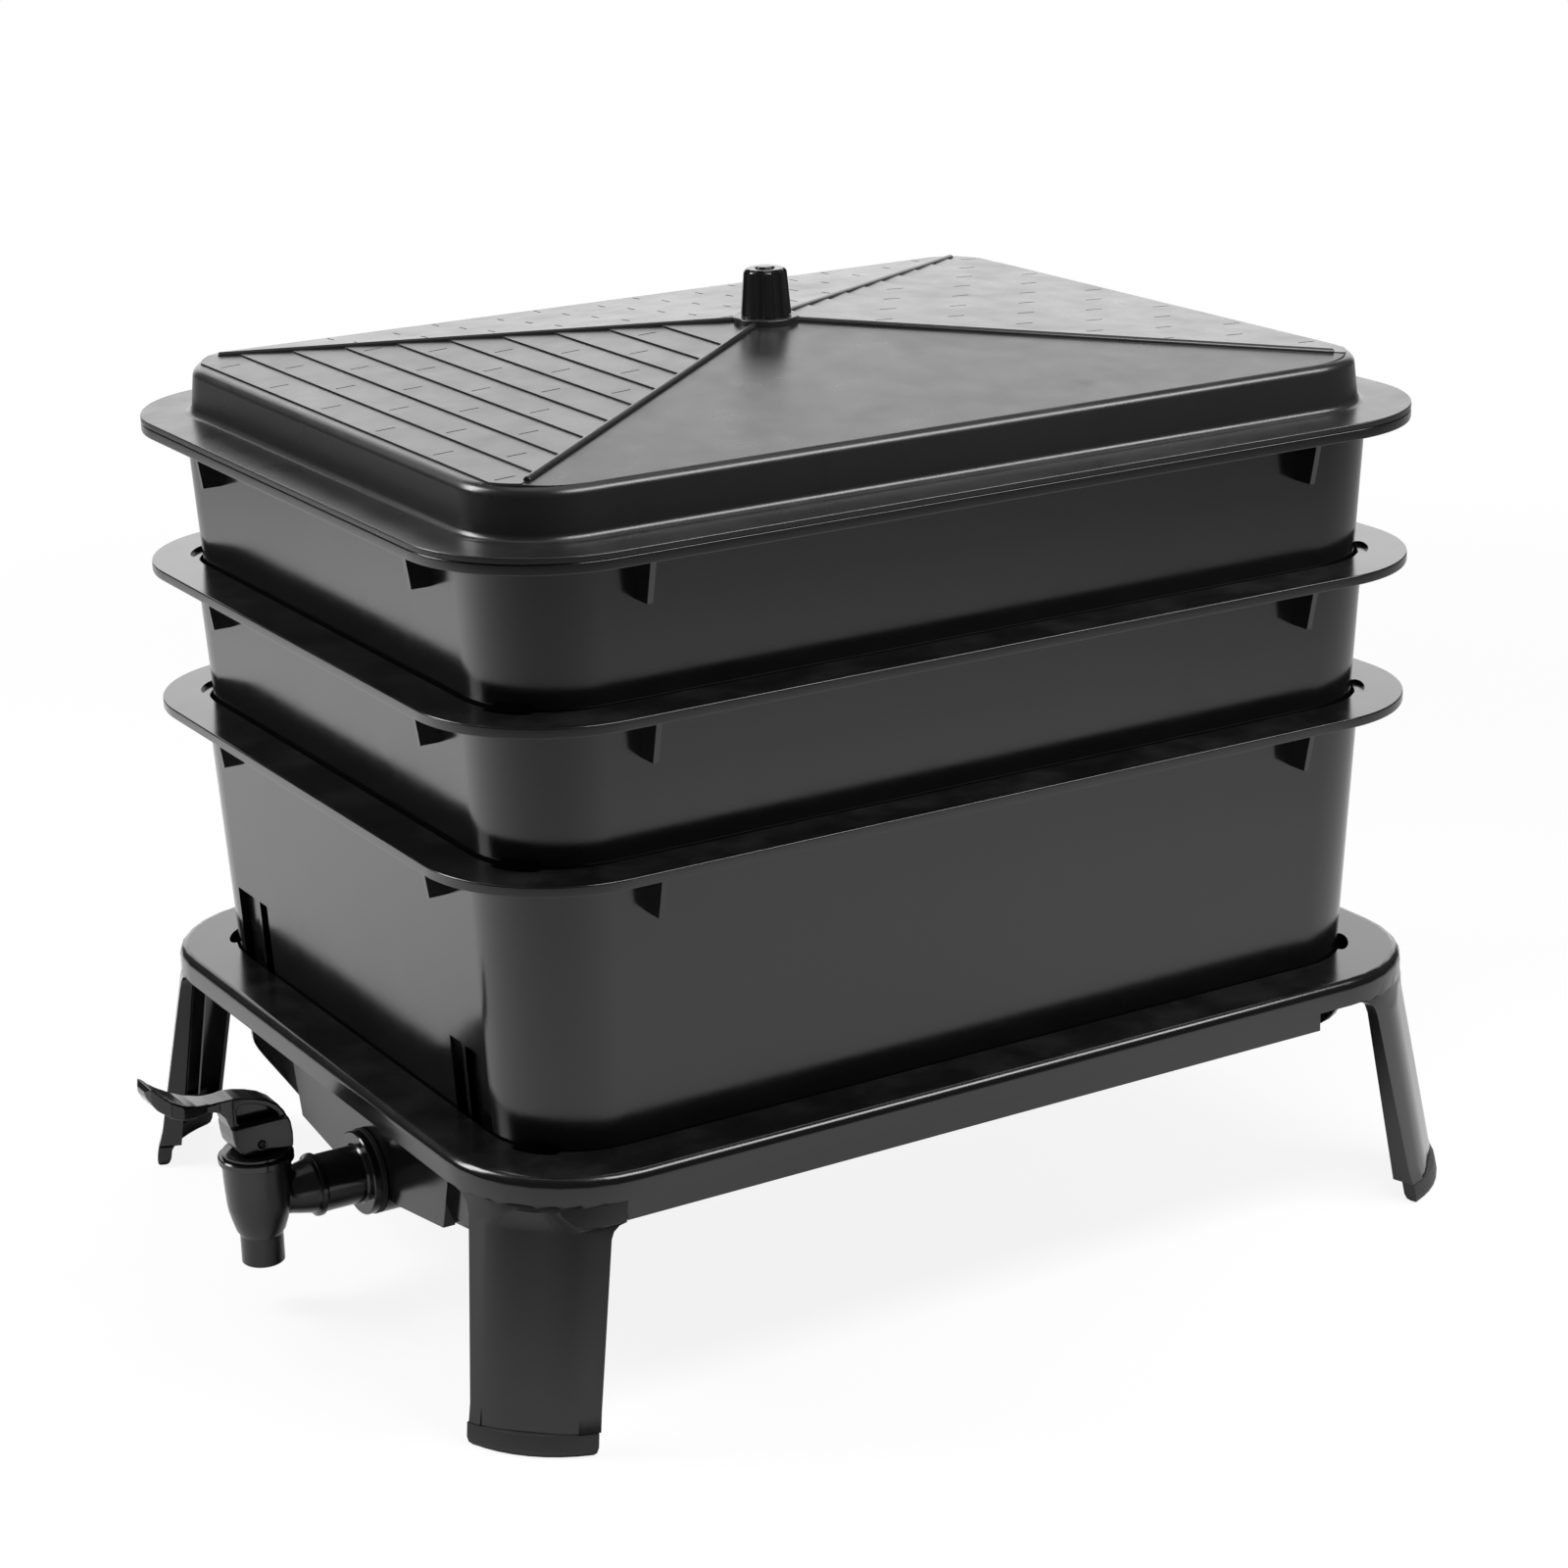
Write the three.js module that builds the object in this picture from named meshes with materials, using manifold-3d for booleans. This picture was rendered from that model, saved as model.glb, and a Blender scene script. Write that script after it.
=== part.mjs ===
// A stacking wormery: three like flanged trays nested in one another, under a lid with a hipped roof and on a
// low stand that holds a collector basin with a dispenser tap. Lengths are in millimetres, +Z is up, X runs
// along the long side, and the tap is on the short side that faces -X.

import * as THREE from 'three';
import Module from 'manifold-3d';
import { mergeGeometries, mergeVertices } from 'three/addons/utils/BufferGeometryUtils.js';

const wasm = await Module();
wasm.setup();

// Clearances shared by the pieces that rest on one another or slide in one another
const SEAT_GAP = 0.3;
const SLIDE_GAP = 0.35;
const OVERRUN = 2;

// Tray: a tapered tub with a flat flange, the same moulding three times
const FLANGE_LENGTH = 560;
const FLANGE_WIDTH = 444;
const FLANGE_RADIUS = 71;
const FLANGE_THICKNESS = 3;
const FLANGE_LIP_HEIGHT = 5.2;
const FLANGE_LIP_WALL = 2.4;
const FLANGE_EDGE_BREAK = 0.8;
const END_LEDGE = 22.5;
const SIDE_LEDGE = 23;
const TRAY_DEPTH = 158;
const TRAY_PITCH = 75;
const TRAY_WALL = 2;
const TRAY_FLOOR = 3;
const TRAY_CORNER_RADIUS = 47;
const END_TAPER_SHARE = 0.05;
const SIDE_TAPER_SHARE = 0.036;
const END_RIB_REACH = 12;
const END_RIB_FOOT_REACH = 9.5;
const SIDE_RIB_REACH = 17;
const SIDE_RIB_FOOT_REACH = 12;
const FLANGE_RIB_DROP = 22;
const RIB_THICKNESS = 3;
const END_RIB_PLACE = 122;
const SIDE_RIB_PLACE = 189;
const STACK_RIB_REACH = 9;
const RECESS_PLACE = 128;
const RECESS_WIDTH = 38;
const RECESS_HEIGHT = 54;
const RECESS_DEPTH = 4;
const RECESS_RIB_SINK = 0.6;
const NOTCH_LENGTH = 25;
const NOTCH_DEPTH = 4.5;
const NOTCH_ANGLE = 36;
const NOTCH_FLOOR = 1;
const NOTCH_POCKET_DEPTH = 9.5;
const NOTCH_POCKET_WALL = 2.5;
const FLOOR_HOLE = 12;
const FLOOR_HOLE_PITCH = 44;
const FLOOR_MARGIN = 34;

// Stand: rim, skirt, aprons, basin and four legs in one moulding, on four push-on feet
const RIM_END_PROUD = 0.5;
const RIM_SIDE_PROUD = 3;
const RIM_CORNER_EASE = 1;
const RIM_HEIGHT = 132;
const RIM_ROUNDING = 5;
const RIM_THICKNESS = 3.5;
const SKIRT_HEIGHT = 13.5;
const SKIRT_WALL = 3.2;
const TRAY_SINK = 15.5;
const END_OPENING_GAP = 1.2;
const SIDE_OPENING_GAP = 1.15;
const BASIN_WALL = 2.5;
const BASIN_DEPTH = 36.5;
const BASIN_EDGE_ROUNDING = 6;
const BASIN_END_DROP = 27;
const BASIN_STEP_IN = 7.6;
const BASIN_STEP_DROP = 24;
const BASIN_STEP_RISE = 3;
const SUMP_DEPTH = 82;
const SUMP_HALF_WIDTH = 30;
const SUMP_LENGTH = 40;
const TROUGH_RADIUS = 22.5;
const APRON_DEPTH = 10;
const APRON_THICKNESS = 3;
const APRON_INSET = 1;
const APRON_END_INSET = 90;
const APRON_FILLET = 7;
const PAD_PROUD = 4;
const PAD_TOP_HALF_WIDTH = 99.5;
const PAD_LOW_HALF_WIDTH = 85;
const LEG_SPLAY_LENGTH = 17;
const LEG_SPLAY_WIDTH = 15;
const LEG_TOP_HALF_TO_X = 29;
const LEG_TOP_HALF_TO_Y = 31.4;
const LEG_FOOT_HALF_TO_X = 25.5;
const LEG_FOOT_HALF_TO_Y = 28.6;
const LEG_TOP_DEPTH = 6;
const LEG_FOOT_DEPTH = 11.5;
const LEG_WALL = 3;
const LEG_FILLET = 10;
const LEG_FLARE = 1;
const LEG_FLARE_HEIGHT = 9;
const LEG_FLUTE_DEPTH = 2;
const LEG_FLUTE_HALF = 20;
const LEG_FLUTE_TOP_DROP = 3;
const LEG_RIB_ANGLE = 9;
const LEG_RIB_THICKNESS = 2;
const FOOT_HEIGHT = 11;
const FOOT_DEPTH = 7.5;
const FOOT_ROUNDING = 4;
const FOOT_HALF_TO_X = 26.6;
const FOOT_HALF_TO_Y = 28;
const FOOT_TONGUE_HEIGHT = 14;
const FOOT_TONGUE_DEPTH = 2.2;

// Lid: a brim, a raised platform with a low hipped roof, four ridges and rows of step lines
const BRIM_THICKNESS = 2.8;
const LID_WALL = 2.6;
const PLATFORM_END_LEDGE = 26;
const PLATFORM_SIDE_LEDGE = 27.5;
const PLATFORM_RADIUS = 44;
const PLATFORM_HEIGHT = 24;
const PLATFORM_DRAFT = 2;
const PLATFORM_ROUNDING = 4.5;
const PLATFORM_FILLET = 4;
const ROOF_RISE = 20;
const RIDGE_RADIUS = 2;
const RIDGE_END_SHARE = 0.93;
const STEP_LINE_PITCH = 22.2;
const STEP_LINE_WIDTH = 1.4;
const STEP_LINE_RISE = 0.5;
const LID_RIM_DROP = 7;
const LID_RIM_WALL = 2.2;
const LID_RIM_GAP = 0.8;
const BOSS_RADIUS = 17;
const BOSS_RISE = 2;

// Knob, its cap and its screw
const KNOB_BASE_RADIUS = 13;
const KNOB_TOP_RADIUS = 11;
const KNOB_HEIGHT = 24;
const KNOB_ROUNDING = 1.5;
const KNOB_FLUTES = 8;
const KNOB_FLUTE_DEPTH = 1.6;
const KNOB_CAP_RADIUS = 5;
const KNOB_CAP_DEPTH = 3;
const KNOB_CAP_RISE = 1;
const KNOB_SCREW_RADIUS = 2.4;
const KNOB_SCREW_HEAD_RADIUS = 6;
const KNOB_SCREW_HEAD_HEIGHT = 3;
const KNOB_SCREW_REACH = 14;

// Tap: heights are taken from the floor, the stem stands out from the pad of the basin
const TAP_AXIS_HEIGHT = 58.5;
const TAP_STEM_REACH = 62;
const TAP_COLLAR_RADIUS = 19.2;
const TAP_COLLAR_HEIGHT = 4;
const TAP_TOP_HEIGHT = 84;
const TAP_SHOULDER_RADIUS = 17.8;
const TAP_WAIST_RADIUS = 16.2;
const TAP_NECK_RADIUS = 12.4;
const SPOUT_RADIUS = 11;
const SPOUT_WALL = 2.2;
const SPOUT_BOTTOM = 24.5;
const TAP_NECK_HEIGHT = 42;
const TAP_WAIST_HEIGHT = 56;
const CHAMBER_RADIUS = 13;
const SEAT_HEIGHT = 50;
const SEAT_BORE = 6.5;
const INLET_RADIUS = 15;
const INLET_NECK_RADIUS = 11.4;
const INLET_CONE_RADIUS = 14.4;
const INLET_CONE_REACH = 30;
const INLET_RING_RADIUS = 16.4;
const INLET_RING_WIDTH = 2;
const INLET_BORE = 8;
const TAP_FLANGE_RADIUS = 22;
const TAP_FLANGE_THICKNESS = 4;
const SPIGOT_RADIUS = 11.5;
const WASHER_RADIUS = 22.5;
const WASHER_THICKNESS = 3;
const INNER_WASHER_RADIUS = 17;
const INNER_WASHER_THICKNESS = 2;
const LOCK_NUT_RADIUS = 18;
const LOCK_NUT_THICKNESS = 6;
const SPIGOT_RUNOUT = 5;
const BONNET_RADIUS = 17;
const BONNET_HEIGHT = 2;
const BONNET_CHAMFER = 0.6;
const BONNET_SPIGOT_DEPTH = 8;
const BONNET_GUIDE_DEPTH = 3;
const SPRING_POCKET_RADIUS = 10;
const STEM_RADIUS = 2.4;
const STEM_FOOT_RADIUS = 9;
const STEM_FOOT_HEIGHT = 3;
const STEM_TONGUE_AHEAD = 6;
const STEM_TONGUE_BEHIND = 4.5;
const STEM_TONGUE_WIDTH = 5;
const STEM_TONGUE_HEIGHT = 9.5;
const SEAL_RADIUS = 10;
const SEAL_THICKNESS = 3;
const SPRING_RADIUS = 6.8;
const SPRING_WIRE = 0.7;
const SPRING_TURNS = 6;
const PIN_RADIUS = 1.5;
const PIN_RISE = 4.9;
const PIN_TRAVEL = 2.2;
const FULCRUM_REACH = 7.5;

// Lever: along is its reach ahead of the fulcrum, or behind it where the share is negative
const LEVER_LENGTH = 50.4;
const LEVER_BACK_REACH = 24.7;
const LEVER_HEIGHT = 48;
const LEVER_CHEEK_HALF_WIDTH = 9.5;
const PADDLE_HALF_WIDTH = 13;
const LEVER_CHEEK_HEIGHT = 16.4;
const LEVER_POCKET_HALF_WIDTH = 3.2;
const LEVER_POCKET_WALL = 3.4;
const LEVER_WEB_HALF_WIDTH = 1.2;
const LEVER_PROFILE_SHARES = [
  [0, 0], [-0.988, 0], [-1, 0.15], [-0.968, 0.279], [-0.879, 0.398], [-0.745, 0.494], [-0.526, 0.569],
  [-0.255, 0.621], [0.008, 0.656], [0.109, 0.667], [0.194, 0.659], [0.337, 0.66], [0.494, 0.692],
  [0.631, 0.744], [0.766, 0.825], [0.835, 0.883], [0.917, 0.969], [0.96, 1], [1, 0.955], [0.988, 0.883],
  [0.923, 0.767], [0.79, 0.658], [0.663, 0.6], [0.524, 0.575], [0.357, 0.579], [0.258, 0.542],
  [0.19, 0.458], [0.155, 0.342], [0.143, 0.217], [0.125, 0.117], [0.089, 0.054], [0.04, 0.0125],
];
const LEVER_WINDOW_SHARES = [
  [0.02, 0.342], [-0.69, 0.342], [-0.76, 0.365], [-0.676, 0.423], [-0.547, 0.481], [-0.364, 0.531],
  [-0.162, 0.5625], [0.03, 0.585], [0.079, 0.53], [0.075, 0.4],
];
const LEVER_PLAN_SHARES = [
  [-1.05, 0.577], [0.12, 0.577], [0.25, 0.52], [0.38, 0.58], [0.52, 0.75], [0.66, 0.93], [0.8, 1],
  [0.9, 0.92], [0.96, 0.7], [1, 0.35],
];

// Counts of flats on round stretches
const CORNER_STEPS = 8;
const ROUND_STEPS = 28;
const SMALL_STEPS = 16;

// Levels and half sizes that several pieces share
const seatLevel = RIM_HEIGHT - TRAY_SINK;
const topTrayLevel = seatLevel + 2 * TRAY_PITCH;
const lidLevel = topTrayLevel + TRAY_DEPTH + SEAT_GAP;
const rimHalfX = FLANGE_LENGTH / 2 + RIM_END_PROUD;
const rimHalfY = FLANGE_WIDTH / 2 + RIM_SIDE_PROUD;
const rimRadius = FLANGE_RADIUS - RIM_CORNER_EASE;
const trayHalf = (level, along) => {
  const depth = TRAY_DEPTH - level;
  return along === 'x'
    ? FLANGE_LENGTH / 2 - END_LEDGE - END_TAPER_SHARE * depth
    : FLANGE_WIDTH / 2 - SIDE_LEDGE - SIDE_TAPER_SHARE * depth;
};

// Turns a closed geometry into a solid, after its shared corners are joined and its empty triangles dropped
function solid(geometry) {
  const bare = geometry.clone();
  bare.deleteAttribute('normal');
  bare.deleteAttribute('uv');
  const merged = mergeVertices(bare);
  const index = merged.index.array;
  const kept = [];
  for (let at = 0; at < index.length; at += 3) {
    const [a, b, c] = [index[at], index[at + 1], index[at + 2]];
    if (a !== b && b !== c && c !== a) kept.push(a, b, c);
  }
  return new wasm.Manifold(new wasm.Mesh({
    numProp: 3,
    vertProperties: new Float32Array(merged.attributes.position.array),
    triVerts: new Uint32Array(kept),
  }));
}

function toGeometry(body) {
  const mesh = body.getMesh();
  const geometry = new THREE.BufferGeometry();
  geometry.setAttribute('position', new THREE.BufferAttribute(new Float32Array(mesh.vertProperties), 3));
  geometry.setIndex(new THREE.BufferAttribute(new Uint32Array(mesh.triVerts), 1));
  geometry.computeVertexNormals();
  return geometry;
}

const joined = (...bodies) => bodies.reduce((sum, body) => sum.add(body));
const cutBy = (body, ...tools) => tools.reduce((left, tool) => left.subtract(tool), body);

// A closed body through rings of as many points each, counter-clockwise from above and rising. Its ends are fans
// about their middles, or strips across rings that run out along one side and back along the other.
function loft(rings, hasStripEnds = false) {
  const count = rings[0].length;
  const middle = (ring) => ring
    .reduce((sum, point) => sum.add(point), new THREE.Vector3())
    .divideScalar(count);
  const points = rings.flat();
  const top = points.length - count;
  const index = [];
  for (let at = 0; at < count; at++) {
    const next = (at + 1) % count;
    for (let ring = 0; ring + 1 < rings.length; ring++) {
      const [a, b] = [ring * count + at, ring * count + next];
      index.push(a, b, b + count, a, b + count, a + count);
    }
  }
  if (hasStripEnds) {
    for (let at = 0; at + 1 < count / 2; at++) {
      const [a, b, c, d] = [at, at + 1, count - 2 - at, count - 1 - at];
      index.push(a, c, b, a, d, c, top + a, top + b, top + c, top + a, top + c, top + d);
    }
  } else {
    const low = points.push(middle(rings[0]), middle(rings.at(-1))) - 2;
    for (let at = 0; at < count; at++) {
      const next = (at + 1) % count;
      index.push(low, next, at, low + 1, top + at, top + next);
    }
  }
  const geometry = new THREE.BufferGeometry().setFromPoints(points);
  geometry.setIndex(index);
  return solid(geometry);
}

// A level rounded rectangle
function frameRing(halfX, halfY, radius, level, steps = CORNER_STEPS) {
  const corners = [[1, 1], [-1, 1], [-1, -1], [1, -1]];
  return corners.flatMap(([sideX, sideY], quarter) => {
    const ring = [];
    for (let step = 0; step <= steps; step++) {
      const angle = (quarter + step / steps) * Math.PI / 2;
      ring.push(new THREE.Vector3(
        sideX * (halfX - radius) + radius * Math.cos(angle),
        sideY * (halfY - radius) + radius * Math.sin(angle),
        level,
      ));
    }
    return ring;
  });
}

// A flat outline of [across, height] points as a plate, square to the side that turn faces, at its place along it
function sidePlate(outline, thickness, turn, along) {
  const shape = new THREE.Shape(outline.map(([across, height]) => new THREE.Vector2(across, height)));
  const geometry = new THREE.ExtrudeGeometry(shape, { depth: thickness, bevelEnabled: false });
  geometry.translate(0, 0, -thickness / 2);
  geometry.rotateX(Math.PI / 2);
  geometry.translate(0, along, 0);
  geometry.rotateZ(turn);
  return solid(geometry);
}

function box(lowX, highX, lowY, highY, lowZ, highZ) {
  const geometry = new THREE.BoxGeometry(highX - lowX, highY - lowY, highZ - lowZ);
  geometry.translate((lowX + highX) / 2, (lowY + highY) / 2, (lowZ + highZ) / 2);
  return solid(geometry);
}

// A body turned about a vertical axis from [radius, height] points
function turned(profile, x = 0, y = 0, steps = ROUND_STEPS) {
  const points = profile.map(([radius, height]) => new THREE.Vector2(radius, height));
  const geometry = new THREE.LatheGeometry(points, steps);
  geometry.rotateX(Math.PI / 2);
  geometry.translate(x, y, 0);
  return solid(geometry);
}

// A disc or tube along X from [radius, x] points, on the tap's axis
function turnedAlongX(profile, height, steps = ROUND_STEPS) {
  const points = profile.map(([radius, x]) => new THREE.Vector2(radius, x));
  const geometry = new THREE.LatheGeometry(points, steps);
  geometry.rotateZ(-Math.PI / 2);
  geometry.translate(0, 0, height);
  return solid(geometry);
}

const wormery = new THREE.Group();

function place(name, body, material, x = 0, y = 0, z = 0) {
  const mesh = new THREE.Mesh(toGeometry(body), material);
  mesh.name = name;
  mesh.position.set(x, y, z);
  wormery.add(mesh);
}

const plastic = (color, roughness) => new THREE.MeshStandardMaterial({ color, roughness, metalness: 0 });
const trayPlastic = plastic(0x1c1c1d, 0.42);
const lidPlastic = plastic(0x262628, 0.5);
const standPlastic = plastic(0x1e1e20, 0.4);
const knobPlastic = plastic(0x0d0d0e, 0.22);
const tapPlastic = plastic(0x141415, 0.28);
const sealRubber = plastic(0x0b0b0b, 0.8);
const springSteel = new THREE.MeshStandardMaterial({ color: 0x9a9c9e, roughness: 0.3, metalness: 1 });

const END = { along: 'x', ribs: END_RIB_PLACE, reach: END_RIB_REACH, footReach: END_RIB_FOOT_REACH };
const SIDE = { along: 'y', ribs: SIDE_RIB_PLACE, reach: SIDE_RIB_REACH, footReach: SIDE_RIB_FOOT_REACH };
const SIDES = [
  { turn: 0, ...END },
  { turn: Math.PI / 2, ...SIDE },
  { turn: Math.PI, ...END },
  { turn: -Math.PI / 2, ...SIDE },
];

// Rounded notches in the corners of a rim's opening, which leave room for the fingers that lift the tray
function cornerNotches(halfX, halfY, radius, low, high) {
  const notches = [];
  for (const [sideX, sideY] of [[1, 1], [-1, 1], [-1, -1], [1, -1]]) {
    const angle = THREE.MathUtils.degToRad(NOTCH_ANGLE);
    const geometry = new THREE.CylinderGeometry(1, 1, high - low, SMALL_STEPS);
    geometry.rotateX(Math.PI / 2);
    geometry.scale(NOTCH_DEPTH, NOTCH_LENGTH / 2, 1);
    geometry.rotateZ(Math.atan2(sideY * Math.sin(angle), sideX * Math.cos(angle)));
    geometry.translate(
      sideX * (halfX - radius + radius * Math.cos(angle)),
      sideY * (halfY - radius + radius * Math.sin(angle)),
      (low + high) / 2,
    );
    notches.push(solid(geometry));
  }
  return notches;
}

function trayShell() {
  const outerTop = TRAY_DEPTH - FLANGE_THICKNESS / 2;
  const wallRing = (level, inset) => frameRing(
    trayHalf(level, 'x') - inset,
    trayHalf(level, 'y') - inset,
    TRAY_CORNER_RADIUS - inset,
    level,
  );
  const tub = loft([wallRing(0, 0), wallRing(outerTop, 0)]);
  const flangeRing = (inset, level) => frameRing(
    FLANGE_LENGTH / 2 - inset,
    FLANGE_WIDTH / 2 - inset,
    FLANGE_RADIUS - inset,
    level,
  );
  const lipBottom = TRAY_DEPTH - FLANGE_LIP_HEIGHT;
  const plateBottom = TRAY_DEPTH - FLANGE_THICKNESS;
  const flange = cutBy(
    loft([
      flangeRing(0, lipBottom),
      flangeRing(0, TRAY_DEPTH - FLANGE_EDGE_BREAK),
      flangeRing(FLANGE_EDGE_BREAK, TRAY_DEPTH),
    ]),
    loft([flangeRing(FLANGE_LIP_WALL, lipBottom - OVERRUN), flangeRing(FLANGE_LIP_WALL, plateBottom)]),
  );
  const hollow = loft([
    wallRing(TRAY_FLOOR, TRAY_WALL),
    wallRing(TRAY_DEPTH + OVERRUN, TRAY_WALL),
  ]);
  return cutBy(
    joined(flange, tub),
    hollow,
    ...cornerNotches(
      trayHalf(TRAY_DEPTH, 'x') - TRAY_WALL,
      trayHalf(TRAY_DEPTH, 'y') - TRAY_WALL,
      TRAY_CORNER_RADIUS - TRAY_WALL,
      plateBottom + NOTCH_FLOOR,
      TRAY_DEPTH + OVERRUN,
    ),
  );
}

// Plates under the flange, and ribs inside that carry the floor of the tray above
function trayRibs() {
  const ribs = [];
  const midWall = (level, along) => trayHalf(level, along) - TRAY_WALL / 2;
  const ribTop = TRAY_DEPTH - FLANGE_THICKNESS / 2;
  const ribFoot = TRAY_DEPTH - FLANGE_LIP_HEIGHT - FLANGE_RIB_DROP;
  const stackTop = TRAY_PITCH - SEAT_GAP;
  for (const side of SIDES) {
    const innerEdge = trayHalf(stackTop, side.along) - TRAY_WALL - STACK_RIB_REACH;
    for (const along of [-side.ribs, side.ribs]) {
      ribs.push(sidePlate([
        [midWall(ribFoot, side.along), ribFoot],
        [trayHalf(ribFoot, side.along) + side.footReach, ribFoot],
        [trayHalf(ribTop, side.along) + side.reach, ribTop],
        [midWall(ribTop, side.along), ribTop],
      ], RIB_THICKNESS, side.turn, along));
      ribs.push(sidePlate([
        [innerEdge, TRAY_FLOOR / 2],
        [midWall(TRAY_FLOOR / 2, side.along), TRAY_FLOOR / 2],
        [midWall(stackTop, side.along), stackTop],
        [innerEdge, stackTop],
      ], RIB_THICKNESS, side.turn, along));
    }
  }
  return ribs;
}

// Recesses low in the short walls, near the corners: each is a box let into the wall, with a rib in it
function trayRecesses() {
  const wall = (level) => trayHalf(level, 'x');
  const roof = RECESS_HEIGHT + TRAY_WALL;
  const [linings, hollows, ribs] = [[], [], []];
  for (const turn of [0, Math.PI]) {
    for (const side of [-1, 1]) {
      linings.push(sidePlate([
        [wall(TRAY_FLOOR / 2) - TRAY_WALL - RECESS_DEPTH, TRAY_FLOOR / 2],
        [wall(TRAY_FLOOR / 2) - TRAY_WALL / 2, TRAY_FLOOR / 2],
        [wall(roof) - TRAY_WALL / 2, roof],
        [wall(roof) - TRAY_WALL - RECESS_DEPTH, roof],
      ], RECESS_WIDTH + 2 * TRAY_WALL, turn, side * RECESS_PLACE));
      hollows.push(sidePlate([
        [wall(0) - RECESS_DEPTH, -OVERRUN],
        [wall(0) + OVERRUN, -OVERRUN],
        [wall(RECESS_HEIGHT) + OVERRUN, RECESS_HEIGHT],
        [wall(RECESS_HEIGHT) - RECESS_DEPTH, RECESS_HEIGHT],
      ], RECESS_WIDTH, turn, side * RECESS_PLACE));
      ribs.push(sidePlate([
        [wall(0) - RECESS_DEPTH - TRAY_WALL / 2, 0],
        [wall(0) - RECESS_RIB_SINK, 0],
        [wall(RECESS_HEIGHT) - RECESS_RIB_SINK, RECESS_HEIGHT + TRAY_WALL / 2],
        [wall(RECESS_HEIGHT) - RECESS_DEPTH - TRAY_WALL / 2, RECESS_HEIGHT + TRAY_WALL / 2],
      ], RIB_THICKNESS, turn, side * END_RIB_PLACE));
    }
  }
  return { linings, hollows, ribs };
}

function floorHoles() {
  const spots = (half) => {
    const count = Math.floor(2 * (half - FLOOR_MARGIN) / FLOOR_HOLE_PITCH) + 1;
    return Array.from({ length: count }, (_, at) => (at - (count - 1) / 2) * FLOOR_HOLE_PITCH);
  };
  const holes = [];
  for (const x of spots(trayHalf(0, 'x'))) {
    for (const y of spots(trayHalf(0, 'y'))) {
      const hole = new THREE.BoxGeometry(FLOOR_HOLE, FLOOR_HOLE, 2 * TRAY_FLOOR + OVERRUN);
      hole.translate(x, y, 0);
      holes.push(hole);
    }
  }
  return solid(mergeGeometries(holes));
}

const { linings, hollows, ribs: recessRibs } = trayRecesses();
const walled = cutBy(joined(trayShell(), ...linings), ...hollows);
const tray = cutBy(joined(walled, ...trayRibs(), ...recessRibs), floorHoles());
['bottom_tray', 'middle_tray', 'top_tray'].forEach((name, at) => {
  place(name, tray, trayPlastic, 0, 0, seatLevel + at * TRAY_PITCH);
});

// The basin's mouth clears the tray that stands in it
const mouthHalfX = trayHalf(TRAY_SINK, 'x') + END_OPENING_GAP;
const mouthHalfY = trayHalf(TRAY_SINK, 'y') + SIDE_OPENING_GAP;
const basinHalfX = mouthHalfX + BASIN_WALL;
const basinHalfY = mouthHalfY + BASIN_WALL;
const basinFloor = RIM_HEIGHT - BASIN_DEPTH;
const sumpFloor = RIM_HEIGHT - SUMP_DEPTH;
const skirtBottom = RIM_HEIGHT - SKIRT_HEIGHT;

const stepLevel = RIM_HEIGHT - BASIN_STEP_DROP;

// The basin's walls are upright down to a step on the -X side, and its floor falls from a rounded edge in flat
// facets to a sump at the tap. Inset gives the inside from the same shape, one wall further in.
function basinBody(inset, top) {
  const corner = TRAY_CORNER_RADIUS + BASIN_WALL;
  const rounding = BASIN_EDGE_ROUNDING - inset;
  const ring = (more, isSteppedIn, levelAt) => {
    const radius = corner - inset - more;
    const [halfX, halfY] = [basinHalfX - inset - more, basinHalfY - inset - more];
    const plain = frameRing(halfX, halfY, radius, 0);
    plain.splice(2 * (CORNER_STEPS + 1), 0,
      new THREE.Vector3(-halfX, SUMP_HALF_WIDTH, 0),
      new THREE.Vector3(-halfX, -SUMP_HALF_WIDTH, 0));
    return plain.map(({ x, y }) => {
      const share = THREE.MathUtils.clamp((-x - (halfX - radius)) / radius, 0, 1);
      const isAtSump = x < 0 && Math.abs(y) <= SUMP_HALF_WIDTH;
      const fall = isAtSump ? basinFloor - sumpFloor : share * BASIN_END_DROP;
      return new THREE.Vector3(x + (isSteppedIn ? share * BASIN_STEP_IN : 0), y, levelAt(fall));
    });
  };
  const edge = [0, 1 / 2, 1].map((share) => {
    const angle = share * Math.PI / 2;
    const level = basinFloor + inset + rounding * (1 - Math.cos(angle));
    return ring(rounding * (1 - Math.sin(angle)), true, (fall) => level - fall);
  });
  const sumpBack = -basinHalfX + BASIN_STEP_IN + SUMP_LENGTH - inset;
  const sumpRing = edge[0].map((point) => new THREE.Vector3(
    Math.min(point.x, sumpBack),
    THREE.MathUtils.clamp(point.y, -SUMP_HALF_WIDTH, SUMP_HALF_WIDTH),
    sumpFloor + inset,
  ));
  return loft([
    sumpRing,
    ...edge,
    ring(0, true, () => stepLevel + inset),
    ring(0, false, () => stepLevel + inset + BASIN_STEP_RISE),
    ring(0, false, () => top),
  ]);
}

const endWall = -basinHalfX + BASIN_STEP_IN;
const tapFace = endWall - PAD_PROUD;
const tapTrough = (radius, near, far) => turnedAlongX(
  [[0, near], [radius, near], [radius, far], [0, far]],
  TAP_AXIS_HEIGHT,
);

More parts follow.
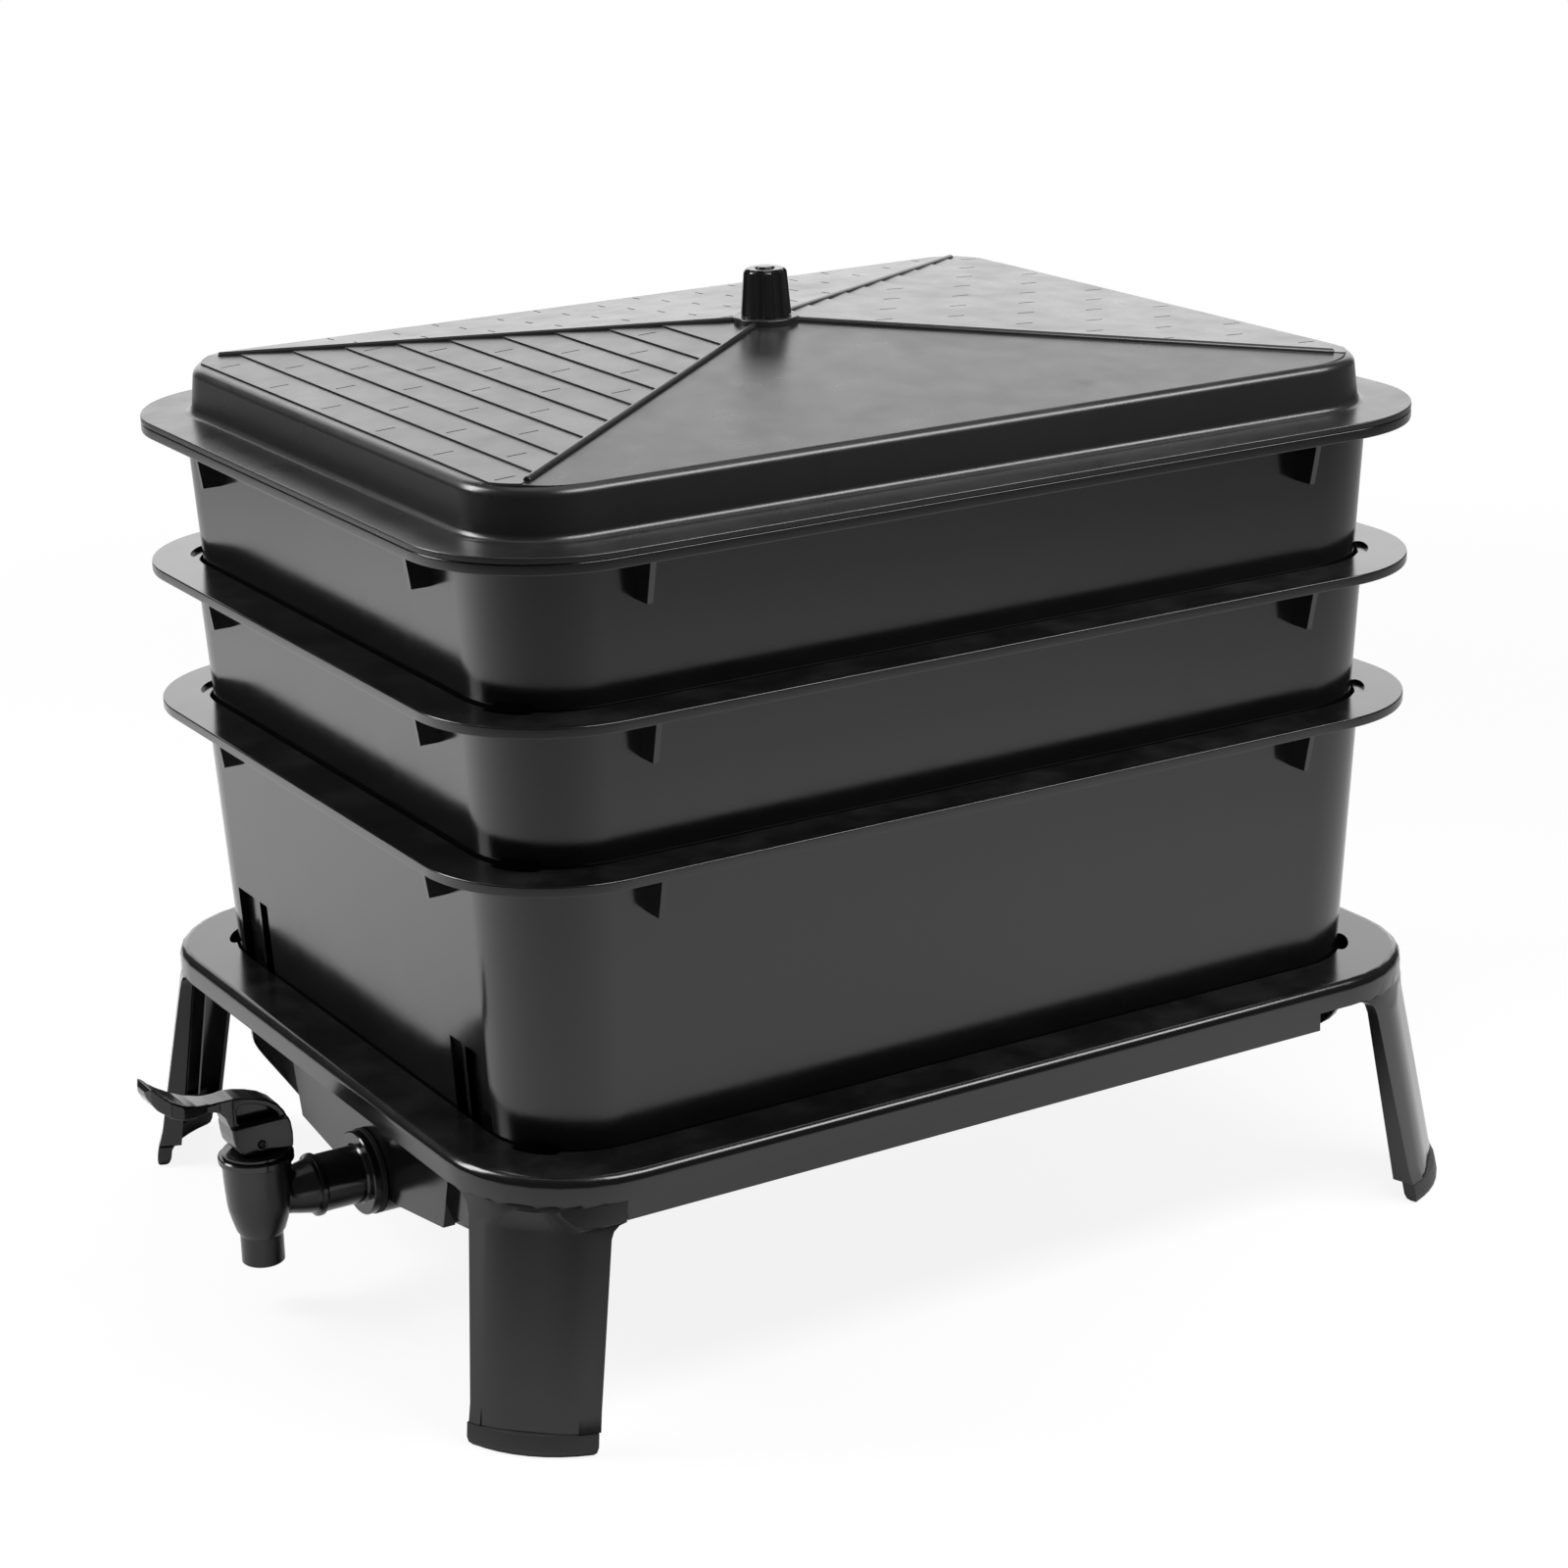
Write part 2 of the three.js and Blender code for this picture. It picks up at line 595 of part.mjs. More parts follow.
// The thicker pad round the tap, its lower edge following the fall of the floor
function tapPad() {
  const cornerY = basinHalfY - TRAY_CORNER_RADIUS - BASIN_WALL;
  const fallShare = (PAD_LOW_HALF_WIDTH - SUMP_HALF_WIDTH) / (cornerY - SUMP_HALF_WIDTH);
  const padFoot = sumpFloor + fallShare * (basinFloor - BASIN_END_DROP - sumpFloor);
  const padTop = stepLevel + BASIN_WALL;
  const outline = [
    [-PAD_TOP_HALF_WIDTH, padTop],
    [-PAD_LOW_HALF_WIDTH, padFoot],
    [-SUMP_HALF_WIDTH, sumpFloor],
    [SUMP_HALF_WIDTH, sumpFloor],
    [PAD_LOW_HALF_WIDTH, padFoot],
    [PAD_TOP_HALF_WIDTH, padTop],
  ];
  return sidePlate(outline, PAD_PROUD + BASIN_WALL, -Math.PI / 2, tapFace + (PAD_PROUD + BASIN_WALL) / 2);
}

function rimShell() {
  const rimRing = (inset, level) => frameRing(rimHalfX - inset, rimHalfY - inset, rimRadius - inset, level);
  const rounding = [0, 1 / 3, 2 / 3, 1].map((share) => {
    const angle = share * Math.PI / 2;
    return rimRing(RIM_ROUNDING * (1 - Math.cos(angle)), RIM_HEIGHT - RIM_ROUNDING * (1 - Math.sin(angle)));
  });
  const underside = RIM_HEIGHT - RIM_THICKNESS;
  return cutBy(
    loft([rimRing(0, skirtBottom), ...rounding]),
    loft([
      rimRing(SKIRT_WALL, skirtBottom - OVERRUN),
      rimRing(SKIRT_WALL, RIM_HEIGHT - RIM_ROUNDING),
      rimRing(RIM_ROUNDING, underside),
    ]),
  );
}

const apronBottom = skirtBottom - APRON_DEPTH;

function aprons() {
  const legSide = rimHalfX - rimRadius;
  return [-1, 1].map((side) => {
    const outer = side * (rimHalfY - APRON_INSET);
    const inner = outer - side * APRON_THICKNESS;
    return box(
      -legSide - LEG_FILLET,
      rimHalfX - APRON_END_INSET,
      Math.min(outer, inner),
      Math.max(outer, inner),
      apronBottom,
      RIM_HEIGHT - RIM_ROUNDING,
    );
  });
}

// A level ring of a corner sector, between two radii and two angles about its centre
function sectorRing(centreX, centreY, level, outer, inner, from, to, steps = CORNER_STEPS) {
  const arc = (radius, start, end) => Array.from({ length: steps + 1 }, (_, step) => {
    const angle = start + (end - start) * step / steps;
    return new THREE.Vector3(centreX + radius * Math.cos(angle), centreY + radius * Math.sin(angle), level);
  });
  return [...arc(outer, from, to), ...arc(inner, to, from)];
}

// The legs splay outward as they go down, so that the sector's centre depends on the level
function legRing([sideX, sideY], level, outer, inner, halfToX, halfToY, steps = CORNER_STEPS) {
  const fall = (skirtBottom - Math.min(level, skirtBottom)) / skirtBottom;
  const middle = Math.atan2(sideY, sideX);
  const isTurned = sideX * sideY < 0;
  const [before, after] = isTurned ? [halfToY, halfToX] : [halfToX, halfToY];
  return sectorRing(
    sideX * (rimHalfX - rimRadius + LEG_SPLAY_LENGTH * fall),
    sideY * (rimHalfY - rimRadius + LEG_SPLAY_WIDTH * fall),
    level,
    outer,
    inner,
    middle - THREE.MathUtils.degToRad(before),
    middle + THREE.MathUtils.degToRad(after),
    steps,
  );
}

const legBottom = FOOT_HEIGHT + SEAT_GAP;
const legShare = (level) => (Math.min(level, skirtBottom) - legBottom) / (skirtBottom - legBottom);
const legHalfToX = (level) => THREE.MathUtils.lerp(LEG_FOOT_HALF_TO_X, LEG_TOP_HALF_TO_X, legShare(level));
const legHalfToY = (level) => THREE.MathUtils.lerp(LEG_FOOT_HALF_TO_Y, LEG_TOP_HALF_TO_Y, legShare(level));
const legInner = (level) => rimRadius - THREE.MathUtils.lerp(LEG_FOOT_DEPTH, LEG_TOP_DEPTH, legShare(level));

// A leg widens into the skirt, and on the apron's side into the apron, with a rounded edge
function leg(corner) {
  const filletEnd = corner[0] < 0 ? apronBottom : skirtBottom;
  const filletToY = corner[0] < 0 ? APRON_FILLET : LEG_FILLET;
  const widening = (level, end, radius) => {
    const rise = THREE.MathUtils.clamp((level - end + radius) / radius, 0, 1);
    return THREE.MathUtils.radToDeg(radius * (1 - Math.sqrt(1 - rise * rise)) / rimRadius);
  };
  const shaftRing = (level, flare) => legRing(
    corner,
    level,
    rimRadius + flare,
    legInner(level),
    legHalfToX(level) + widening(level, skirtBottom, LEG_FILLET),
    legHalfToY(level) + widening(level, filletEnd, filletToY),
  );
  const levels = new Set([1, 2 / 3, 1 / 3, 0].flatMap((share) => {
    const drop = 1 - Math.cos(share * Math.PI / 2);
    return [skirtBottom - LEG_FILLET * drop, filletEnd - filletToY * drop];
  }));
  const shaft = loft([
    shaftRing(legBottom, LEG_FLARE),
    shaftRing(legBottom + LEG_FLARE_HEIGHT, 0),
    ...[...levels].sort((a, b) => a - b).map((level) => shaftRing(level, 0)),
    legRing(
      corner,
      RIM_HEIGHT - RIM_THICKNESS / 2,
      rimRadius - SKIRT_WALL,
      rimRadius - LEG_TOP_DEPTH,
      LEG_TOP_HALF_TO_X,
      LEG_TOP_HALF_TO_Y,
    ),
  ], true);
  const wallAngle = THREE.MathUtils.radToDeg(LEG_WALL / rimRadius);
  const channel = loft([legBottom - OVERRUN, apronBottom - APRON_FILLET].map((level) => legRing(
    corner,
    level,
    rimRadius - LEG_WALL,
    rimRadius - LEG_FOOT_DEPTH - OVERRUN,
    legHalfToX(level) - wallAngle,
    legHalfToY(level) - wallAngle,
  )), true);
  const fluteTop = skirtBottom - LEG_FLUTE_TOP_DROP;
  const fluteRing = (level, depth, half) => {
    const ring = legRing(corner, level, rimRadius + LEG_FLARE + OVERRUN, rimRadius - depth, half, half);
    const fullReach = LEG_FLARE + OVERRUN + depth;
    return ring.map((point, at) => {
      if (at <= CORNER_STEPS) return point;
      const across = (at - CORNER_STEPS - 1) / CORNER_STEPS;
      const reach = LEG_FLARE + OVERRUN + depth * Math.sin(Math.PI * across) ** 2;
      return new THREE.Vector3().lerpVectors(ring[ring.length - 1 - at], point, reach / fullReach);
    });
  };
  const flute = loft([
    fluteRing(legBottom - OVERRUN, LEG_FLUTE_DEPTH, LEG_FLUTE_HALF),
    fluteRing(fluteTop - LEG_FILLET, LEG_FLUTE_DEPTH, LEG_FLUTE_HALF),
    fluteRing(fluteTop, LEG_FLUTE_DEPTH / 8, LEG_FLUTE_HALF / 2),
  ], true);
  const ribHalf = THREE.MathUtils.radToDeg(LEG_RIB_THICKNESS / 2 / rimRadius);
  const ribs = [-LEG_RIB_ANGLE, LEG_RIB_ANGLE].map((degrees) => loft(
    [legBottom + FOOT_TONGUE_HEIGHT + OVERRUN, apronBottom - APRON_FILLET + OVERRUN].map((level) => legRing(
      corner,
      level,
      rimRadius - LEG_WALL / 2,
      legInner(level),
      ribHalf - degrees,
      ribHalf + degrees,
      1,
    )),
    true,
  ));
  return joined(cutBy(shaft, channel, flute), ...ribs);
}

const CORNERS = {
  front_left: [-1, -1],
  front_right: [1, -1],
  back_left: [-1, 1],
  back_right: [1, 1],
};

// Blocks under the rim that the corner notches are sunk into
function notchBlocks() {
  const half = NOTCH_LENGTH / TRAY_CORNER_RADIUS;
  const middle = THREE.MathUtils.degToRad(NOTCH_ANGLE);
  const outer = TRAY_CORNER_RADIUS + NOTCH_DEPTH + NOTCH_POCKET_WALL;
  return Object.values(CORNERS).map(([sideX, sideY]) => {
    const angle = Math.atan2(sideY * Math.sin(middle), sideX * Math.cos(middle));
    const ring = (level) => sectorRing(
      sideX * (mouthHalfX - TRAY_CORNER_RADIUS),
      sideY * (mouthHalfY - TRAY_CORNER_RADIUS),
      level,
      outer,
      TRAY_CORNER_RADIUS + BASIN_WALL / 2,
      angle - half,
      angle + half,
    );
    return loft([
      ring(RIM_HEIGHT - NOTCH_POCKET_DEPTH - NOTCH_POCKET_WALL),
      ring(RIM_HEIGHT - RIM_THICKNESS / 2),
    ], true);
  });
}

function stand() {
  const troughBack = endWall + SUMP_LENGTH;
  const innerWall = endWall + BASIN_WALL;
  const shell = joined(
    rimShell(),
    ...aprons(),
    basinBody(0, RIM_HEIGHT - RIM_THICKNESS / 2),
    ...notchBlocks(),
    tapPad(),
    tapTrough(TROUGH_RADIUS, tapFace, troughBack),
  );
  const mouthTop = RIM_HEIGHT + OVERRUN;
  const opened = cutBy(
    shell,
    basinBody(BASIN_WALL, mouthTop),
    tapTrough(TROUGH_RADIUS - BASIN_WALL, innerWall, troughBack - BASIN_WALL),
    tapTrough(SPIGOT_RADIUS + SLIDE_GAP, tapFace - OVERRUN, innerWall + OVERRUN),
    ...cornerNotches(
      mouthHalfX,
      mouthHalfY,
      TRAY_CORNER_RADIUS,
      RIM_HEIGHT - NOTCH_POCKET_DEPTH,
      mouthTop,
    ),
  );
  const ribs = [];
  for (const side of SIDES) {
    const isAtTap = side.turn === Math.PI;
    const wall = (side.along === 'x' ? basinHalfX : basinHalfY) - BASIN_WALL / 2;
    const lowWall = isAtTap ? wall - BASIN_STEP_IN : wall;
    const seatTop = seatLevel - SEAT_GAP;
    const inner = trayHalf(0, side.along) - STACK_RIB_REACH;
    const foot = basinFloor + BASIN_WALL / 2 - (isAtTap ? BASIN_END_DROP : 0);
    for (const along of [-side.ribs, side.ribs]) {
      ribs.push(sidePlate([
        [inner, foot],
        [lowWall - BASIN_EDGE_ROUNDING / 2, foot],
        [lowWall, foot + BASIN_EDGE_ROUNDING / 2],
        [lowWall, stepLevel + BASIN_WALL / 2],
        [wall, stepLevel + BASIN_WALL + BASIN_STEP_RISE],
        [wall, seatTop],
        [inner, seatTop],
      ], RIB_THICKNESS, side.turn, along));
    }
  }
  return joined(opened, ...ribs);
}

place('stand', joined(stand(), ...Object.values(CORNERS).map(leg)), standPlastic);

// A push-on shoe under the leg's outer wall, with a tongue that stands behind that wall
function foot(corner) {
  const shoeRing = (level, inset) => {
    const less = THREE.MathUtils.radToDeg(inset / rimRadius);
    return legRing(
      corner,
      level,
      rimRadius + LEG_FLARE - inset,
      rimRadius + LEG_FLARE - FOOT_DEPTH + inset,
      FOOT_HALF_TO_X - less,
      FOOT_HALF_TO_Y - less,
    );
  };
  const shoe = loft([
    shoeRing(0, FOOT_ROUNDING / 2),
    shoeRing(FOOT_ROUNDING / 3, FOOT_ROUNDING / 6),
    shoeRing(FOOT_ROUNDING, 0),
    shoeRing(FOOT_HEIGHT, 0),
  ], true);
  const tongueOuter = rimRadius - LEG_WALL - SLIDE_GAP;
  const tongueHalf = LEG_FOOT_HALF_TO_X - THREE.MathUtils.radToDeg((LEG_WALL + 2 * SLIDE_GAP) / tongueOuter);
  const tongue = loft([FOOT_HEIGHT - OVERRUN, FOOT_HEIGHT + FOOT_TONGUE_HEIGHT].map((level) => legRing(
    corner,
    level,
    tongueOuter,
    tongueOuter - FOOT_TONGUE_DEPTH,
    tongueHalf,
    tongueHalf,
  )), true);
  return joined(shoe, tongue);
}

for (const [name, corner] of Object.entries(CORNERS)) {
  place(`foot_${name}`, foot(corner), sealRubber);
}

// Levels of the lid above its own underside
const platformTop = BRIM_THICKNESS + PLATFORM_HEIGHT - PLATFORM_ROUNDING;
const roofEdge = platformTop + PLATFORM_ROUNDING;
const roofTop = roofEdge + ROOF_RISE;
const platformHalfX = FLANGE_LENGTH / 2 - PLATFORM_END_LEDGE;
const platformHalfY = FLANGE_WIDTH / 2 - PLATFORM_SIDE_LEDGE;
const roofHalfX = platformHalfX - PLATFORM_DRAFT - PLATFORM_ROUNDING;
const roofHalfY = platformHalfY - PLATFORM_DRAFT - PLATFORM_ROUNDING;
const bossTop = roofTop + BOSS_RISE;

function lidShell() {
  const ring = (inset, level) => frameRing(
    platformHalfX - inset,
    platformHalfY - inset,
    PLATFORM_RADIUS - inset,
    level,
  );
  const brimRing = (inset, level) => frameRing(
    FLANGE_LENGTH / 2 - inset,
    FLANGE_WIDTH / 2 - inset,
    FLANGE_RADIUS - inset,
    level,
  );
  const apex = (level) => frameRing(0, 0, 0, level);
  const roofRing = (share, level) => [[1, 1], [-1, 1], [-1, -1], [1, -1]].map(([sideX, sideY]) => new THREE.Vector3(
    sideX * roofHalfX * share,
    sideY * roofHalfY * share,
    level,
  ));
  const brim = loft([
    brimRing(0, 0),
    brimRing(0, BRIM_THICKNESS - FLANGE_EDGE_BREAK),
    brimRing(FLANGE_EDGE_BREAK, BRIM_THICKNESS),
  ]);
  const platform = loft([
    ring(-PLATFORM_FILLET, BRIM_THICKNESS / 2),
    ring(-PLATFORM_FILLET, BRIM_THICKNESS),
    ring(-PLATFORM_FILLET / 4, BRIM_THICKNESS + PLATFORM_FILLET / 4),
    ring(0, BRIM_THICKNESS + PLATFORM_FILLET),
    ring(PLATFORM_DRAFT, platformTop),
    ring(PLATFORM_DRAFT + PLATFORM_ROUNDING / 3, platformTop + 2 * PLATFORM_ROUNDING / 3),
    ring(PLATFORM_DRAFT + PLATFORM_ROUNDING, roofEdge),
  ]);
  const roof = loft([
    roofRing(1, platformTop),
    roofRing(1, roofEdge),
    roofRing(0, roofTop),
  ]).intersect(loft([
    ring(PLATFORM_DRAFT + PLATFORM_ROUNDING, platformTop),
    ring(PLATFORM_DRAFT + PLATFORM_ROUNDING, roofTop + OVERRUN),
  ]));
  const hollow = loft([
    ring(LID_WALL, -OVERRUN),
    ring(LID_WALL + PLATFORM_DRAFT, platformTop),
    ring(LID_WALL + PLATFORM_DRAFT + PLATFORM_ROUNDING, roofEdge - LID_WALL),
    apex(roofTop - LID_WALL),
  ]);
  return { brim, platform: joined(platform, roof), hollow };
}

// A round ridge from the boss towards each corner of the roof
function roofRidges() {
  return Object.values(CORNERS).map(([sideX, sideY]) => {
    const end = new THREE.Vector3(
      sideX * roofHalfX * RIDGE_END_SHARE,
      sideY * roofHalfY * RIDGE_END_SHARE,
      roofTop - ROOF_RISE * RIDGE_END_SHARE,
    );
    const start = new THREE.Vector3(0, 0, roofTop);
    const path = new THREE.LineCurve3(start, end);
    const section = new THREE.Shape().absarc(0, 0, RIDGE_RADIUS, 0, 2 * Math.PI, false);
    return solid(new THREE.ExtrudeGeometry(section, {
      curveSegments: 4,
      steps: 1,
      bevelEnabled: false,
      extrudePath: path,
    }));
  });
}

// Lines across the two end panels of the roof, where each row of the moulded planks ends
function stepLines() {
  const lines = [];
  const fall = ROOF_RISE / roofHalfX;
  const lastRow = Math.floor(roofHalfX / STEP_LINE_PITCH);
  for (const side of [-1, 1]) {
    for (let row = 1; row < lastRow; row++) {
      const x = row * STEP_LINE_PITCH - STEP_LINE_WIDTH;
      const halfLength = x * roofHalfY / roofHalfX;
      const level = roofTop - fall * x;
      const bar = new THREE.BoxGeometry(STEP_LINE_WIDTH, 2 * halfLength, 2 * STEP_LINE_RISE);
      bar.translate(side * x, 0, level);
      lines.push(bar);
    }
  }
  return solid(mergeGeometries(lines));
}

// A downward rim that drops inside the flange of the top tray
function lidRim() {
  const halfX = trayHalf(TRAY_DEPTH - LID_RIM_DROP, 'x') - TRAY_WALL - LID_RIM_GAP;
  const halfY = trayHalf(TRAY_DEPTH - LID_RIM_DROP, 'y') - TRAY_WALL - LID_RIM_GAP;
  const radius = TRAY_CORNER_RADIUS - TRAY_WALL;
  const ring = (inset, level) => frameRing(halfX - inset, halfY - inset, radius - inset, level);
  return cutBy(
    loft([ring(0, -LID_RIM_DROP), ring(0, BRIM_THICKNESS / 2)]),
    loft([ring(LID_RIM_WALL, -LID_RIM_DROP - OVERRUN), ring(LID_RIM_WALL, BRIM_THICKNESS + OVERRUN)]),
  );
}

function lid() {
  const { brim, platform, hollow } = lidShell();
  const boss = turned([[0, roofTop - ROOF_RISE / 2], [BOSS_RADIUS, roofTop - ROOF_RISE / 2],
    [BOSS_RADIUS, bossTop], [0, bossTop]]);
  const screwHole = turned([[0, roofEdge - OVERRUN], [KNOB_SCREW_RADIUS + SLIDE_GAP, roofEdge - OVERRUN],
    [KNOB_SCREW_RADIUS + SLIDE_GAP, bossTop + OVERRUN], [0, bossTop + OVERRUN]], 0, 0, SMALL_STEPS);
  const skin = joined(brim, platform, ...roofRidges(), stepLines(), boss);
  return cutBy(joined(cutBy(skin, hollow), lidRim()), screwHole);
}

place('lid', lid(), lidPlastic, 0, 0, lidLevel);

// The knob stands on the boss and is drawn down by its screw
const knobLevel = lidLevel + bossTop + SEAT_GAP;

function knob() {
  const ring = (radius, level) => {
    const steps = KNOB_FLUTES * 4;
    return Array.from({ length: steps }, (_, step) => {
      const angle = 2 * Math.PI * step / steps;
      const hollow = KNOB_FLUTE_DEPTH * (1 + Math.cos(KNOB_FLUTES * angle)) / 2;
      return new THREE.Vector3(
        (radius - hollow) * Math.cos(angle),
        (radius - hollow) * Math.sin(angle),
        level,
      );
    });
  };
  const body = loft([
    ring(KNOB_BASE_RADIUS, 0),
    ring(KNOB_TOP_RADIUS, KNOB_HEIGHT - KNOB_ROUNDING),
    ring(KNOB_TOP_RADIUS - KNOB_ROUNDING, KNOB_HEIGHT),
  ]);
  const well = turned([[0, KNOB_HEIGHT - KNOB_CAP_DEPTH], [KNOB_CAP_RADIUS + SLIDE_GAP, KNOB_HEIGHT - KNOB_CAP_DEPTH],
    [KNOB_CAP_RADIUS + SLIDE_GAP, KNOB_HEIGHT + OVERRUN], [0, KNOB_HEIGHT + OVERRUN]], 0, 0, SMALL_STEPS);
  const thread = turned([[0, -OVERRUN], [KNOB_SCREW_RADIUS + SLIDE_GAP, -OVERRUN],
    [KNOB_SCREW_RADIUS + SLIDE_GAP, KNOB_SCREW_REACH + SLIDE_GAP], [0, KNOB_SCREW_REACH + SLIDE_GAP]],
  0, 0, SMALL_STEPS);
  return cutBy(body, well, thread);
}

place('lid_knob', knob(), knobPlastic, 0, 0, knobLevel);

const capFoot = KNOB_HEIGHT - KNOB_CAP_DEPTH + SEAT_GAP;
const capTop = KNOB_HEIGHT + KNOB_CAP_RISE;
place('knob_cap', turned([[0, capFoot], [KNOB_CAP_RADIUS, capFoot], [KNOB_CAP_RADIUS, capTop - KNOB_CAP_RISE],
  [KNOB_CAP_RADIUS - KNOB_CAP_RISE, capTop], [0, capTop]], 0, 0, SMALL_STEPS), knobPlastic, 0, 0, knobLevel);

// The pan-head screw hangs under the roof, its head against the underside of the boss
const screwSeat = roofTop - ROOF_RISE / 2 - SEAT_GAP;
place('knob_screw', turned([
  [0, screwSeat - KNOB_SCREW_HEAD_HEIGHT],
  [KNOB_SCREW_HEAD_RADIUS, screwSeat - KNOB_SCREW_HEAD_HEIGHT],
  [KNOB_SCREW_HEAD_RADIUS, screwSeat],
  [KNOB_SCREW_RADIUS, screwSeat],
  [KNOB_SCREW_RADIUS, bossTop + SEAT_GAP + KNOB_SCREW_REACH],
  [0, bossTop + SEAT_GAP + KNOB_SCREW_REACH],
], 0, 0, SMALL_STEPS), springSteel, 0, 0, lidLevel);

// Places along X of what is clamped to the tap's pad
const washerFace = tapFace - SEAT_GAP;
const flangeFace = washerFace - WASHER_THICKNESS - SEAT_GAP;
const stemX = tapFace - TAP_STEM_REACH;
const innerWasherFace = endWall + BASIN_WALL + SEAT_GAP;
const lockNutFace = innerWasherFace + INNER_WASHER_THICKNESS + SEAT_GAP;
const spigotEnd = lockNutFace + LOCK_NUT_THICKNESS + SPIGOT_RUNOUT;

function tapBody() {
  const casting = turned([
    [0, SPOUT_BOTTOM],
    [SPOUT_RADIUS, SPOUT_BOTTOM],
    [SPOUT_RADIUS, TAP_NECK_HEIGHT - SPOUT_WALL],
    [TAP_NECK_RADIUS, TAP_NECK_HEIGHT],
    [TAP_WAIST_RADIUS, TAP_WAIST_HEIGHT],
    [TAP_SHOULDER_RADIUS, TAP_TOP_HEIGHT - TAP_COLLAR_HEIGHT],
    [TAP_COLLAR_RADIUS, TAP_TOP_HEIGHT - TAP_COLLAR_HEIGHT],
    [TAP_COLLAR_RADIUS, TAP_TOP_HEIGHT],
    [0, TAP_TOP_HEIGHT],
  ], stemX, 0);
  const flangeBack = flangeFace - TAP_FLANGE_THICKNESS;
  const ringPlace = stemX + INLET_CONE_REACH;
  const inlet = turnedAlongX([
    [0, stemX],
    [INLET_NECK_RADIUS, stemX],
    [INLET_NECK_RADIUS, stemX + CHAMBER_RADIUS],
    [INLET_CONE_RADIUS, ringPlace - INLET_RING_WIDTH],
    [INLET_RING_RADIUS, ringPlace - INLET_RING_WIDTH / 2],
    [INLET_RING_RADIUS, ringPlace + INLET_RING_WIDTH / 2],
    [INLET_RADIUS, ringPlace + INLET_RING_WIDTH],
    [INLET_RADIUS, flangeBack],
    [TAP_FLANGE_RADIUS, flangeBack],
    [TAP_FLANGE_RADIUS, flangeFace],
    [SPIGOT_RADIUS, flangeFace],
    [SPIGOT_RADIUS, spigotEnd],
    [0, spigotEnd],
  ], TAP_AXIS_HEIGHT);
  const chamber = turned([
    [0, SEAT_HEIGHT],
    [CHAMBER_RADIUS, SEAT_HEIGHT],
    [CHAMBER_RADIUS, TAP_TOP_HEIGHT + OVERRUN],
    [0, TAP_TOP_HEIGHT + OVERRUN],
  ], stemX, 0);
  const outlet = turned([
    [0, SPOUT_BOTTOM - OVERRUN],
    [SPOUT_RADIUS - SPOUT_WALL, SPOUT_BOTTOM - OVERRUN],
    [SPOUT_RADIUS - SPOUT_WALL, TAP_NECK_HEIGHT - SPOUT_WALL],
    [SEAT_BORE, TAP_NECK_HEIGHT],
    [SEAT_BORE, SEAT_HEIGHT + OVERRUN],
    [0, SEAT_HEIGHT + OVERRUN],
  ], stemX, 0);
  const waterway = turnedAlongX([
    [0, stemX],
    [INLET_BORE, stemX],
    [INLET_BORE, spigotEnd + OVERRUN],
    [0, spigotEnd + OVERRUN],
  ], TAP_AXIS_HEIGHT, SMALL_STEPS);
  return cutBy(joined(casting, inlet), chamber, outlet, waterway);
}

place('tap_body', tapBody(), tapPlastic);

const flatRing = (outer, inner, near, thickness, steps = ROUND_STEPS) => turnedAlongX([
  [inner, near],
  [outer, near],
  [outer, near + thickness],
  [inner, near + thickness],
  [inner, near],
], TAP_AXIS_HEIGHT, steps);

place(
  'tap_outer_washer',
  flatRing(WASHER_RADIUS, SPIGOT_RADIUS + SLIDE_GAP, washerFace - WASHER_THICKNESS, WASHER_THICKNESS),
  sealRubber,
);
place(
  'tap_inner_washer',
  flatRing(INNER_WASHER_RADIUS, SPIGOT_RADIUS + SLIDE_GAP, innerWasherFace, INNER_WASHER_THICKNESS),
  sealRubber,
);

// The lock nut is a hexagon with a round bore
function lockNut() {
  const hexagon = turnedAlongX([[0, lockNutFace], [LOCK_NUT_RADIUS, lockNutFace],
    [LOCK_NUT_RADIUS, lockNutFace + LOCK_NUT_THICKNESS], [0, lockNutFace + LOCK_NUT_THICKNESS]],
  TAP_AXIS_HEIGHT, 6);
  const bore = turnedAlongX([[0, lockNutFace - OVERRUN], [SPIGOT_RADIUS + SLIDE_GAP, lockNutFace - OVERRUN],
    [SPIGOT_RADIUS + SLIDE_GAP, spigotEnd], [0, spigotEnd]], TAP_AXIS_HEIGHT);
  return cutBy(hexagon, bore);
}

place('tap_lock_nut', lockNut(), tapPlastic);

// Bonnet: a cap with a spigot in the chamber, a pocket for the spring and a guide for the stem
const bonnetFoot = TAP_TOP_HEIGHT + SEAT_GAP;
const bonnetTop = bonnetFoot + BONNET_HEIGHT;
const pocketTop = bonnetTop - BONNET_GUIDE_DEPTH;
place('tap_bonnet', turned([
  [SPRING_POCKET_RADIUS, bonnetFoot - BONNET_SPIGOT_DEPTH],
  [CHAMBER_RADIUS - SLIDE_GAP, bonnetFoot - BONNET_SPIGOT_DEPTH],
  [CHAMBER_RADIUS - SLIDE_GAP, bonnetFoot],
  [BONNET_RADIUS, bonnetFoot],
  [BONNET_RADIUS, bonnetTop - BONNET_CHAMFER],
  [BONNET_RADIUS - BONNET_CHAMFER, bonnetTop],
  [STEM_RADIUS + SLIDE_GAP, bonnetTop],
  [STEM_RADIUS + SLIDE_GAP, pocketTop],
  [SPRING_POCKET_RADIUS, pocketTop],
  [SPRING_POCKET_RADIUS, bonnetFoot - BONNET_SPIGOT_DEPTH],
], stemX, 0), tapPlastic);

